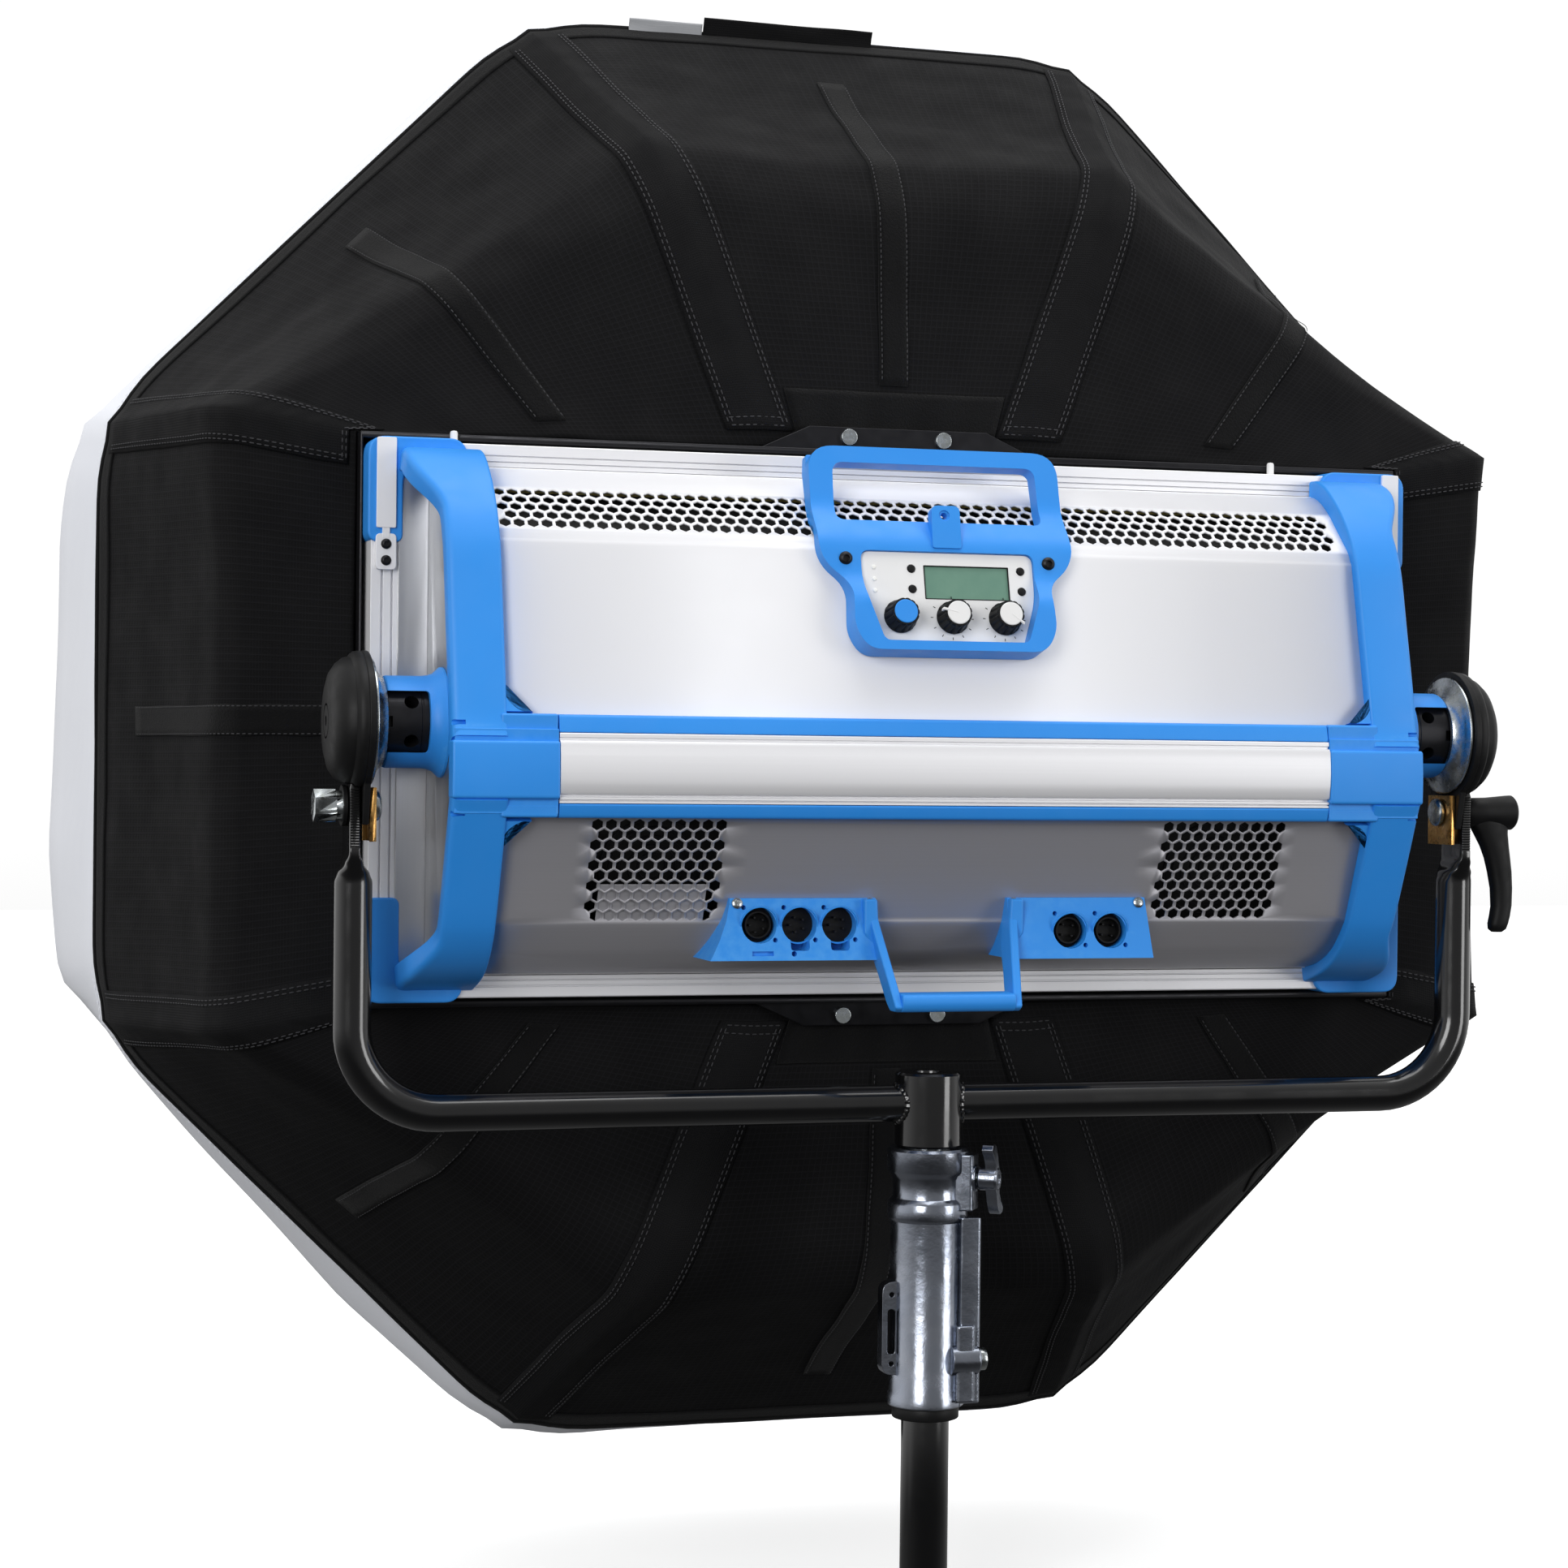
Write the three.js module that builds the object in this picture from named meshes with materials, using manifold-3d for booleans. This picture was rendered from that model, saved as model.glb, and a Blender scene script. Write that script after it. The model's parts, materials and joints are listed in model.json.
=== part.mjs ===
// Studio softbox on an LED panel light, held by a tilting yoke on a stand riser.
// Millimetres, +Z up, +Y is the way the light shines, +X is to the right seen from behind.
// The origin is the centre of the riser's bottom face.

import * as THREE from 'three';
import { mergeVertices } from 'three/addons/utils/BufferGeometryUtils.js';
import Module from 'manifold-3d';

const wasm = await Module();
wasm.setup();

// ---------------------------------------------------------------- driving dimensions
const GAP = 0.3;                  // clearance between touching pieces
const TILT_HEIGHT = 560;          // tilt axis above the riser's foot

// head frame, measured from the tilt axis
const HEAD_HALF_WIDTH = 345;
const HEAD_TOP = 172;
const HEAD_BOTTOM = -169;
const FRAME_REAR = 52;
const FRAME_FRONT = 98;
const RAIL = 14;                  // rail height
const SIDE_RAIL = 17.5;           // upright width
const CORNER_LENGTH = 57;         // corner's arm along the rail
const CORNER_DROP = 62;           // corner's arm down the upright
const CORNER_PROUD = 2.5;         // corner stands proud of the rails

// covers, spine and bumpers
const COVER_HALF_WIDTH = 280;
const SHEET = 1.8;
const BUMPER_OUTER = 312;
const BUMPER_THICK = 12;
const WING_OUTER = 330;
const SPINE_HALF_WIDTH = 248;
const SPINE_TOP = -5.5;
const SPINE_BOTTOM = -47;
const SPINE_REAR = -50;

// control panel, tilted back from upright
const PANEL_LEAN = 14;            // degrees
const PANEL_REAR = -40;           // y of the panel plane at the tilt axis
const PLATE = { halfWidth: 55.5, low: 52.5, high: 109, back: 5, face: 8 };
const KNOB = { x: [-33, 1, 35], y: 68, radius: 10.5, top: 21.5, stem: 3 };
const BUTTON = { x: [-23.4, 48], y: [99.2, 86.2], radius: 2.3, top: 9.4 };
const DISPLAY = { x: [-15.5, 40], y: [80, 101.5] };

// connector blocks and lower handle
const BLOCK = { inner: 42, outer: 135, top: -103.5, bottom: -142 };
const SOCKET_RADIUS = 10.8;
const SOCKET_DEPTH = 9;
const LEFT_SOCKETS = [-118.3, -92.9, -67.4];
const RIGHT_SOCKETS = [83.2, 110];

// pivots and yoke
const DISC_RADIUS = 42;
const DISC_INNER = 355;
const DOME_OUTER = 379;
const HOUSING_RADIUS = 27.5;
const AXLE_RADIUS = 23.4;
const YOKE_RADIUS = 11.5;
const YOKE_HALF_SPAN = 362;
const YOKE_BAR = -233.5;
const YOKE_BEND = 52;
const CRIMP_BOTTOM = -95;         // where the round arm starts to flatten
const ARM_TOP = -43.5;
const BOLT_HEIGHT = -50;
const BOLT_RADIUS = 5;
const PLATE_FOOT = { halfWidth: 15, z: -61 };
const SHOE = { inner: 350.7, outer: 354.6, halfWidth: 14.5, low: -71, high: -39 };
const END_PLATE = { inner: 307, outer: 310 };
const FLANGE = { radius: 33, inner: 310.3, outer: 315 };
const HOUSING_END = 344.6;

// hub, receiver and riser
const HUB = { radius: 21, top: -214, bottom: -260.4 };
const SPIGOT_RADIUS = 14;
const RECEIVER = { top: -261, bottom: -421.7, radius: 23, bore: 14.3 };
const RISER_RADIUS = 15;
const RISER_WALL = 2;
const THANDLE_ANGLE = -35;        // degrees about +Z from +X
const THANDLE_HEIGHT = -279;

// softbox
const RIM_FLAT = 488.5;           // half of the rim's flat-to-flat size
const RIM_REAR = 295;
const BACK_HALF_WIDTH = 350.4;
const BACK_TOP = 179.8;
const BACK_BOTTOM = -176.8;
const RIB_X = 87;                 // where the upper and lower ribs start
const SKIN = 3;
const CAP_FRONT = 374;
const CAP_SKIN = 2;
const EAR = { low: 95, high: 60, height: 16, rear: 74, front: 76.5 };

const RAD = Math.PI / 180;
const Y_AXIS = new THREE.Vector3(0, 1, 0);

// ---------------------------------------------------------------- finishes
function finish(color, roughness, metalness) {
  return new THREE.MeshStandardMaterial({ color, roughness, metalness });
}
const blue = finish(0x1f7fdc, 0.55, 0);
const white = finish(0xf2f2f4, 0.4, 0);
const greySteel = finish(0x9c9a98, 0.38, 1);
const aluminium = finish(0xdadadc, 0.3, 1);
const dieCast = finish(0xc4c6ca, 0.25, 1);
const steel = finish(0xb8bcc0, 0.25, 1);
const brass = finish(0xd6a556, 0.3, 1);
const blackPaint = finish(0x0b0b0c, 0.25, 0.2);
const blackPlastic = finish(0x151516, 0.55, 0);
const darkMetal = finish(0x202225, 0.5, 0.8);
const ledYellow = finish(0xe8d27a, 0.6, 0);
const frosted = finish(0xf4f4f0, 0.7, 0);
const cloth = finish(0x17171a, 0.9, 0);
const whiteCloth = finish(0xf4f5f8, 0.95, 0);

// ---------------------------------------------------------------- solids
function toManifold(geometry) {
  const bare = geometry.clone();
  for (const name of Object.keys(bare.attributes)) {
    if (name !== 'position') bare.deleteAttribute(name);
  }
  const merged = mergeVertices(bare, 1e-4);
  return new wasm.Manifold(new wasm.Mesh({
    numProp: 3,
    vertProperties: new Float32Array(merged.attributes.position.array),
    triVerts: new Uint32Array(merged.index.array),
  }));
}

function toGeometry(manifold) {
  const data = manifold.getMesh();
  const geometry = new THREE.BufferGeometry();
  geometry.setAttribute('position', new THREE.BufferAttribute(new Float32Array(data.vertProperties), 3));
  geometry.setIndex(new THREE.BufferAttribute(new Uint32Array(data.triVerts), 1));
  return geometry;
}

function join(...geometries) {
  return toGeometry(geometries.map(toManifold).reduce((all, next) => all.add(next)));
}

function cut(geometry, ...tools) {
  return toGeometry(tools.map(toManifold).reduce((all, next) => all.subtract(next), toManifold(geometry)));
}

function node(name, geometry, material) {
  const mesh = new THREE.Mesh(geometry, material);
  mesh.name = name;
  return mesh;
}

function box(x0, x1, y0, y1, z0, z1) {
  const geometry = new THREE.BoxGeometry(x1 - x0, y1 - y0, z1 - z0);
  return geometry.translate((x0 + x1) / 2, (y0 + y1) / 2, (z0 + z1) / 2);
}

function outline(points) {
  return new THREE.Shape(points.map(([a, b]) => new THREE.Vector2(a, b)));
}

function extrude(shape, depth) {
  return new THREE.ExtrudeGeometry(shape, { depth, bevelEnabled: false, curveSegments: 8 });
}

// A profile of (y, z) points, drawn along X from x0 to x1.
function alongX(points, x0, x1) {
  const geometry = extrude(outline(points), x1 - x0);
  const toX = new THREE.Matrix4().set(0, 0, 1, x0, 1, 0, 0, 0, 0, 1, 0, 0, 0, 0, 0, 1);
  return geometry.applyMatrix4(toX);
}

// An outline of (x, z) points, drawn along Y from y0 to y1.
function alongY(points, y0, y1) {
  const geometry = extrude(outline(points), y1 - y0);
  return geometry.rotateX(Math.PI / 2).translate(0, y1, 0);
}

function cylinderX(radius, x0, x1, y = 0, z = 0, sides = 24) {
  const geometry = new THREE.CylinderGeometry(radius, radius, x1 - x0, sides);
  return geometry.rotateZ(Math.PI / 2).translate((x0 + x1) / 2, y, z);
}

function cylinderZ(radius, z0, z1, x = 0, y = 0, sides = 24) {
  const geometry = new THREE.CylinderGeometry(radius, radius, z1 - z0, sides);
  return geometry.rotateX(Math.PI / 2).translate(x, y, (z0 + z1) / 2);
}

// A turned shape: (radius, height) points that start and end on the axis, standing on Z.
function turned(profile, sides = 24) {
  const points = profile.map(([r, h]) => new THREE.Vector2(r, h));
  return new THREE.LatheGeometry(points, sides).rotateX(Math.PI / 2);
}

function ringZ(outer, inner, z0, z1, sides = 32) {
  return cut(cylinderZ(outer, z0, z1, 0, 0, sides), cylinderZ(inner, z0 - 1, z1 + 1, 0, 0, sides));
}

// Joins equal rings of points into one closed body; the ends are capped, or joined when closed.
function loft(rings, closed = false) {
  const count = rings[0].length;
  const vertices = rings.flat().flatMap((p) => [p.x, p.y, p.z]);
  const faces = [];
  const spans = closed ? rings.length : rings.length - 1;
  for (let i = 0; i < spans; i += 1) {
    const next = (i + 1) % rings.length;
    for (let j = 0; j < count; j += 1) {
      const k = (j + 1) % count;
      const a = i * count + j;
      const b = i * count + k;
      const c = next * count + k;
      const d = next * count + j;
      faces.push(a, b, c, a, c, d);
    }
  }
  if (!closed) {
    const last = (rings.length - 1) * count;
    for (let j = 1; j < count - 1; j += 1) {
      faces.push(0, j + 1, j);
      faces.push(last, last + j, last + j + 1);
    }
  }
  const geometry = new THREE.BufferGeometry();
  geometry.setAttribute('position', new THREE.Float32BufferAttribute(vertices, 3));
  geometry.setIndex(faces);
  return outward(geometry);
}

// Turns the faces over if they point inwards.
function outward(geometry) {
  const p = geometry.attributes.position;
  const index = geometry.index.array;
  let volume = 0;
  const [a, b, c] = [new THREE.Vector3(), new THREE.Vector3(), new THREE.Vector3()];
  for (let i = 0; i < index.length; i += 3) {
    a.fromBufferAttribute(p, index[i]);
    b.fromBufferAttribute(p, index[i + 1]);
    c.fromBufferAttribute(p, index[i + 2]);
    volume += a.dot(b.cross(c));
  }
  if (volume < 0) {
    for (let i = 0; i < index.length; i += 3) {
      [index[i + 1], index[i + 2]] = [index[i + 2], index[i + 1]];
    }
  }
  return geometry;
}

function mirrored(geometry) {
  const copy = geometry.clone().applyMatrix4(new THREE.Matrix4().makeScale(-1, 1, 1));
  if (!copy.index) copy.setIndex([...Array(copy.attributes.position.count).keys()]);
  return outward(copy);
}

// Adds NAME_right, and NAME_left as its mirror image.
function addPair(group, name, geometry, material) {
  group.add(node(`${name}_right`, geometry, material));
  group.add(node(`${name}_left`, mirrored(geometry), material));
}

// ---------------------------------------------------------------- stand riser and receiver
function makeStand() {
  const group = new THREE.Group();
  const top = TILT_HEIGHT + RECEIVER.top;
  const bottom = TILT_HEIGHT + RECEIVER.bottom;
  const flange = 6;
  const riserTop = bottom + 56;
  const plugRadius = RISER_RADIUS - RISER_WALL - GAP;
  const plug = turned([[0, 0], [RISER_RADIUS, 0], [RISER_RADIUS, flange], [plugRadius, flange],
    [plugRadius, flange + 18], [0, flange + 18]], 32);
  group.add(node('riser_end_plug', plug, blackPlastic));
  const tube = ringZ(RISER_RADIUS, RISER_RADIUS - RISER_WALL, flange + GAP, riserTop);
  group.add(node('riser_tube', tube, blackPaint));
  group.add(node('riser_collar', ringZ(21, RISER_RADIUS + GAP, bottom - 8, bottom - GAP), blackPlastic));
  group.add(node('receiver_casting', makeReceiver(top, bottom, riserTop), dieCast));

  const bolt = join(
    cylinderX(4, 8, 15, 0, 0, 16),
    cut(cylinderX(7, 15, 19, 0, 0, 20), cylinderX(2.6, 16.5, 20, 0, 0, 6)),
  );
  bolt.translate(13.4, -18, bottom + 30);
  group.add(node('receiver_clamp_bolt', bolt, steel));
  return group;
}

function makeReceiver(top, bottom, riserTop) {
  const r = RECEIVER.radius;
  const barrel = turned([[0, bottom], [r + 1, bottom], [r + 1, bottom + 7], [r, bottom + 9], [r, top - 44],
    [r + 2, top - 42], [r + 2, top - 34], [r - 1, top - 30], [r - 1, top - 19], [r + 2.5, top - 15],
    [r + 2.5, top - 3], [r + 1, top], [0, top]], 32);
  const handleZ = TILT_HEIGHT + THANDLE_HEIGHT;
  const boss = box(10, 33, -8, 8, handleZ - 20, handleZ + 12).rotateZ(THANDLE_ANGLE * RAD);
  const lug = box(13, 28, -22, -13, bottom + 3, handleZ - 24);
  const pad = box(13, 24, -25, -12, bottom + 4, bottom + 52);
  const boltBoss = cylinderX(9.5, 10, 28.1, -18, bottom + 30);
  const ear = box(-31, -14, -7, 3, bottom + 20, bottom + 78);
  const earWindow = box(-27.5, -22.8, -8, 4, bottom + 34, bottom + 60);
  const body = cut(join(barrel, boss, lug, pad, boltBoss, ear), earWindow);
  return cut(
    body,
    cylinderZ(RECEIVER.bore, riserTop + 5, top + 1, 0, 0, 32),
    cylinderZ(RISER_RADIUS + GAP, bottom - 1, riserTop + GAP, 0, 0, 32),
    cylinderX(4.4, 17, 34).translate(0, 0, handleZ).rotateZ(THANDLE_ANGLE * RAD),
    cylinderX(4.4, 14, 30, -18, bottom + 30, 20),
  );
}

function makeTHandle() {
  const shaft = cylinderX(4, 18, 40, 0, 0, 20);
  const hub = cylinderX(7.5, 33.5, 46, 0, 0, 24);
  const wing = [];
  for (const [z, y, x] of [[-25, 2.4, 3.2], [-23, 4.2, 5], [-12, 3.2, 4.6], [0, 5.4, 6.4], [12, 3.2, 4.6],
    [23, 4.2, 5], [25, 2.4, 3.2]]) {
    wing.push(ellipse(x, y, z, 12, 41 + Math.abs(z) * 0.12));
  }
  const geometry = join(shaft, hub, loft(wing));
  geometry.rotateX(28 * RAD).rotateZ(THANDLE_ANGLE * RAD);
  return node('t_handle', geometry.translate(0, 0, TILT_HEIGHT + THANDLE_HEIGHT), dieCast);
}

// A flat ring of points at height z: half-widths rx and ry about x = cx.
function ellipse(rx, ry, z, sides, cx = 0) {
  const ring = [];
  for (let i = 0; i < sides; i += 1) {
    const angle = (2 * Math.PI * i) / sides;
    ring.push(new THREE.Vector3(cx + rx * Math.cos(angle), ry * Math.sin(angle), z));
  }
  return ring;
}

// ---------------------------------------------------------------- yoke
// Rings round the tube from the hub along the bar, round the bend and up the right arm.
function yokeTubeRings() {
  const rings = [];
  const sides = 16;
  const straight = YOKE_HALF_SPAN - YOKE_BEND;
  const steps = 7;
  const stations = [[0, YOKE_BAR, 0]];
  for (let i = 0; i <= steps; i += 1) {
    const angle = ((Math.PI / 2) * i) / steps;
    const rise = YOKE_BEND * (1 - Math.cos(angle));
    stations.push([straight + YOKE_BEND * Math.sin(angle), YOKE_BAR + rise, angle]);
  }
  stations.push([YOKE_HALF_SPAN, CRIMP_BOTTOM, Math.PI / 2]);
  for (const [x, z, turn] of stations) {
    const ring = ellipse(YOKE_RADIUS, YOKE_RADIUS, 0, sides);
    const centre = new THREE.Vector3(x, 0, z);
    for (const point of ring) point.applyAxisAngle(Y_AXIS, Math.PI / 2 - turn).add(centre);
    rings.push(ring);
  }
  return rings;
}

function makeYokeHalf() {
  const crimp = [];
  const plateX = 363.2;
  const plateHalf = 3.4;
  const plateDepth = 15;
  const squareEnd = 0.22;
  for (const [z, amount] of [[CRIMP_BOTTOM - 0.5, 0], [-90, 0.35], [-83, 0.85], [-77, 1], [ARM_TOP, 1]]) {
    const rx = THREE.MathUtils.lerp(YOKE_RADIUS, plateHalf, amount);
    const ry = THREE.MathUtils.lerp(YOKE_RADIUS, plateDepth, amount);
    const square = THREE.MathUtils.lerp(1, squareEnd, amount);
    const cx = THREE.MathUtils.lerp(YOKE_HALF_SPAN, plateX, amount);
    crimp.push(superEllipse(rx, ry, z, square, 16, cx));
  }
  const arm = join(loft(yokeTubeRings()), loft(crimp));
  return cut(arm, cylinderX(BOLT_RADIUS + GAP, 340, 400, 0, BOLT_HEIGHT));
}

// A ring between an ellipse (square = 1) and a rectangle (square near 0).
function superEllipse(rx, ry, z, square, sides, cx) {
  const ring = [];
  for (let i = 0; i < sides; i += 1) {
    const angle = (2 * Math.PI * i) / sides;
    const c = Math.cos(angle);
    const s = Math.sin(angle);
    const x = rx * Math.sign(c) * Math.abs(c) ** square;
    const y = ry * Math.sign(s) * Math.abs(s) ** square;
    ring.push(new THREE.Vector3(cx + x, y, z));
  }
  return ring;
}

function makeYoke() {
  const group = new THREE.Group();
  group.position.z = TILT_HEIGHT;
  const half = makeYokeHalf();
  const hub = cylinderZ(HUB.radius, HUB.bottom, HUB.top, 0, 0, 32);
  const spigotLength = 88;
  const spigot = cylinderZ(SPIGOT_RADIUS, HUB.bottom - spigotLength, HUB.bottom + 1, 0, 0, 32);
  const frame = cut(join(half, mirrored(half), hub, spigot), cylinderZ(8, HUB.top - 14, HUB.top + 1));
  group.add(node('yoke_frame', frame, blackPaint));

  addPair(group, 'yoke_plate', makeYokePlate(), blackPlastic);
  addPair(group, 'brass_shoe', makeShoe(), brass);
  const shankEnd = { right: 388, left: 374 };
  const head = turned([[0, 0], [7, 0], [9, 1.4], [9, 4], [0, 4]], 24).rotateY(Math.PI / 2)
    .translate(346.3, 0, BOLT_HEIGHT);
  const boltRight = join(head, cylinderX(BOLT_RADIUS, 349, shankEnd.right, 0, BOLT_HEIGHT));
  const hex = join(
    cylinderX(11, 367, 369, 0, BOLT_HEIGHT),
    cylinderX(9, 368.9, 373.2, 0, BOLT_HEIGHT),
    cylinderX(9.8, 373, 386, 0, BOLT_HEIGHT, 6),
  );
  const boltLeft = join(head, cylinderX(BOLT_RADIUS, 349, shankEnd.left, 0, BOLT_HEIGHT), hex);
  group.add(node('tilt_bolt_right', boltRight, steel));
  group.add(node('tilt_bolt_left', mirrored(boltLeft), steel));
  return group;
}

function makeYokePlate() {
  const plate = new THREE.Shape();
  plate.absarc(0, 0, DISC_RADIUS, -60 * RAD, 240 * RAD);
  plate.lineTo(-PLATE_FOOT.halfWidth, PLATE_FOOT.z);
  plate.lineTo(PLATE_FOOT.halfWidth, PLATE_FOOT.z);
  plate.closePath();
  const disc = new THREE.ExtrudeGeometry(plate, { depth: 4.4, bevelEnabled: false, curveSegments: 24 });
  const toX = new THREE.Matrix4().set(0, 0, 1, DISC_INNER, 1, 0, 0, 0, 0, 1, 0, 0, 0, 0, 0, 1);
  disc.applyMatrix4(toX);
  const height = DOME_OUTER - DISC_INNER;
  const dome = turned([[0, 3], [DISC_RADIUS - 1, 3], [DISC_RADIUS - 1, 9.5], [DISC_RADIUS - 4, 12.5],
    [DISC_RADIUS - 5.5, 17], [DISC_RADIUS - 11, height - 2], [DISC_RADIUS - 16, height], [0, height]], 28);
  dome.rotateY(Math.PI / 2).translate(DISC_INNER, 0, 0);
  return cut(join(disc, dome), cylinderX(BOLT_RADIUS + GAP, 340, 400, 0, BOLT_HEIGHT, 20));
}

function makeShoe() {
  const { inner, outer, halfWidth, low, high } = SHOE;
  const sheet = 1.5;
  const lip = 2.5;
  const plate = box(inner, inner + sheet, -halfWidth, halfWidth, low, high);
  const side = box(inner, outer, -halfWidth, -halfWidth + lip, low, high);
  const far = box(inner, outer, halfWidth - lip, halfWidth, low, high);
  return cut(join(plate, side, far), cylinderX(BOLT_RADIUS + GAP, inner - 5, outer + 5, 0, BOLT_HEIGHT, 20));
}

class LeverArm extends THREE.CubicBezierCurve3 {
  constructor() {
    super(
      new THREE.Vector3(388, 0, BOLT_HEIGHT - 3),
      new THREE.Vector3(393, 0, BOLT_HEIGHT - 24),
      new THREE.Vector3(404, 0, BOLT_HEIGHT - 40),
      new THREE.Vector3(399, 0, BOLT_HEIGHT - 72),
    );
  }
}

function makeTiltLever() {
  const hub = turned([[0, 0], [9.5, 0], [10.2, 3], [11.6, 12], [11.6, 34], [10.2, 37], [0, 37]], 28)
    .rotateY(Math.PI / 2).translate(367.2, 0, BOLT_HEIGHT);
  const section = new THREE.Shape();
  section.absellipse(0, 0, 6.2, 6.8, 0, 2 * Math.PI);
  const arm = new THREE.ExtrudeGeometry(section, {
    steps: 8, extrudePath: new LeverArm(), curveSegments: 6, bevelEnabled: false,
  });
  const tip = new THREE.SphereGeometry(7.6, 12, 8).translate(399, 0, BOLT_HEIGHT - 71);
  const bore = cylinderX(BOLT_RADIUS + GAP, 360, 389, 0, BOLT_HEIGHT);
  const lever = node('tilt_lever', cut(join(hub, arm, tip), bore), blackPlastic);
  lever.position.z = TILT_HEIGHT;
  return lever;
}

// ---------------------------------------------------------------- light head
// Points are (y, z) from the tilt axis; the outer line of the covers and of the bumpers.
const UPPER_COVER = [[51, 157.4], [32, 153.5], [12, 142], [-7, 121], [-15, 103], [-36.5, 8]];
const LOWER_COVER = [[-36, -56.5], [-12, -116], [2, -134], [22, -147], [51, -154.4]];
const BUMPER_LINE = [[50, 168], [28, 164], [4, 148], [-14, 126], [-22, 104], [-45, 10], [-50, 0], [-52, -25],
  [-50, -53], [-43, -62], [-20, -116], [-4, -138], [20, -154], [50, -164]];

// Moves an open line of (a, b) points sideways by a distance, to its left.
function offsetLine(points, distance) {
  return points.map((point, i) => {
    const before = points[Math.max(i - 1, 0)];
    const after = points[Math.min(i + 1, points.length - 1)];
    const length = Math.hypot(after[0] - before[0], after[1] - before[1]);
    const da = -(after[1] - before[1]) / length;
    const db = (after[0] - before[0]) / length;
    return [point[0] + da * distance, point[1] + db * distance];
  });
}

function band(line, thickness) {
  return [...line, ...offsetLine(line, thickness).reverse()];
}

function makeRails(group) {
  const long = HEAD_HALF_WIDTH - CORNER_LENGTH - GAP;
  const groove = 2.2;
  const rail = [[FRAME_REAR, -RAIL], [FRAME_REAR, -RAIL / 2 - 1.5], [FRAME_REAR + groove, -RAIL / 2 - 1.5],
    [FRAME_REAR + groove, -RAIL / 2 + 1.5], [FRAME_REAR, -RAIL / 2 + 1.5], [FRAME_REAR, 0], [FRAME_FRONT, 0],
    [FRAME_FRONT, -RAIL]];
  const top = alongX(rail, -long, long).translate(0, 0, HEAD_TOP);
  group.add(node('rail_top', top, aluminium));
  const bottom = alongX(rail, -long, long).translate(0, 0, HEAD_BOTTOM + RAIL);
  group.add(node('rail_bottom', bottom, aluminium));

  const high = HEAD_TOP - CORNER_DROP - GAP;
  const low = HEAD_BOTTOM + CORNER_DROP + GAP;
  const slot = { inner: HEAD_HALF_WIDTH - 10.5, outer: HEAD_HALF_WIDTH - 7.5 };
  const upright = cut(
    box(HEAD_HALF_WIDTH - SIDE_RAIL, HEAD_HALF_WIDTH, FRAME_REAR, FRAME_FRONT, low, high),
    box(slot.inner, slot.outer, FRAME_REAR - 1, FRAME_REAR + groove, low - 1, high + 1),
  );
  addPair(group, 'rail', upright, aluminium);
}

function makeCorners(group) {
  const out = HEAD_HALF_WIDTH + CORNER_PROUD;
  const inner = HEAD_HALF_WIDTH - CORNER_LENGTH;
  const cornerShape = (edge, sign, reach) => {
    const e = edge + sign * CORNER_PROUD;
    const leg = out - SIDE_RAIL - 4;
    const points = [[inner, e], [out - 6, e], [out, e - sign * 6], [out, edge - sign * reach],
      [leg, edge - sign * reach], [leg, edge - sign * (RAIL + 8)], [leg - 6, edge - sign * RAIL],
      [inner, edge - sign * RAIL]];
    if (sign > 0) points.reverse();
    return toGeometry(toManifold(alongY(points, FRAME_REAR - 2, FRAME_FRONT)));
  };
  addPair(group, 'frame_corner_top', cornerShape(HEAD_TOP, 1, CORNER_DROP), blue);
  addPair(group, 'frame_corner_bottom', cornerShape(HEAD_BOTTOM, -1, CORNER_DROP), blue);
}

function makeCovers(group) {
  const w = COVER_HALF_WIDTH;
  group.add(node('upper_cover', alongX(band(UPPER_COVER, SHEET).reverse(), -w, w), white));
  group.add(node('lower_cover', alongX(band(LOWER_COVER, SHEET).reverse(), -w, w), greySteel));

  const spine = [[SPINE_REAR, SPINE_BOTTOM], [SPINE_REAR + 12, SPINE_BOTTOM], [SPINE_REAR + 12, SPINE_TOP],
    [SPINE_REAR + 3, SPINE_TOP], [SPINE_REAR, SPINE_TOP - 5]];
  const s = SPINE_HALF_WIDTH;
  group.add(node('spine_cover', alongX(spine, -s, s), aluminium));
  const upperTrim = [[-45, SPINE_TOP + GAP], [-36.5, SPINE_TOP + GAP], [-36.5, 5], [-42, 5]];
  group.add(node('spine_trim_upper', alongX(upperTrim, -s, s), blue));
  const lowerTrim = [[-46, -55.5], [-38, -55.5], [-38, SPINE_BOTTOM - GAP], [-49, SPINE_BOTTOM - GAP]];
  group.add(node('spine_trim_lower', alongX(lowerTrim, -s, s), blue));
}

function makeBumper() {
  const thick = BUMPER_THICK;
  const arch = alongX(band(BUMPER_LINE, thick).reverse(), COVER_HALF_WIDTH + GAP, BUMPER_OUTER);
  const shoulder = alongX([[-51.5, 6], [-38.5, 6], [-38.5, -55], [-51.5, -55]].reverse(),
    SPINE_HALF_WIDTH + GAP, COVER_HALF_WIDTH + 4);
  const root = BUMPER_OUTER - 2;
  const topEdge = [[50, 167.5], [50, 138], [24, 132], [0, 144], [28, 163.5]];
  const wingTop = alongX(topEdge, root, WING_OUTER);
  const lowEdge = [[50, -163.5], [20, -153.5], [-2, -134], [24, -122], [50, -134]];
  const wingLow = alongX(lowEdge, root, WING_OUTER);
  const frameSide = box(200, 400, FRAME_REAR - 2 - GAP, 80, -200, 200);
  return cut(join(arch, shoulder, wingTop, wingLow), frameSide);
}

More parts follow.
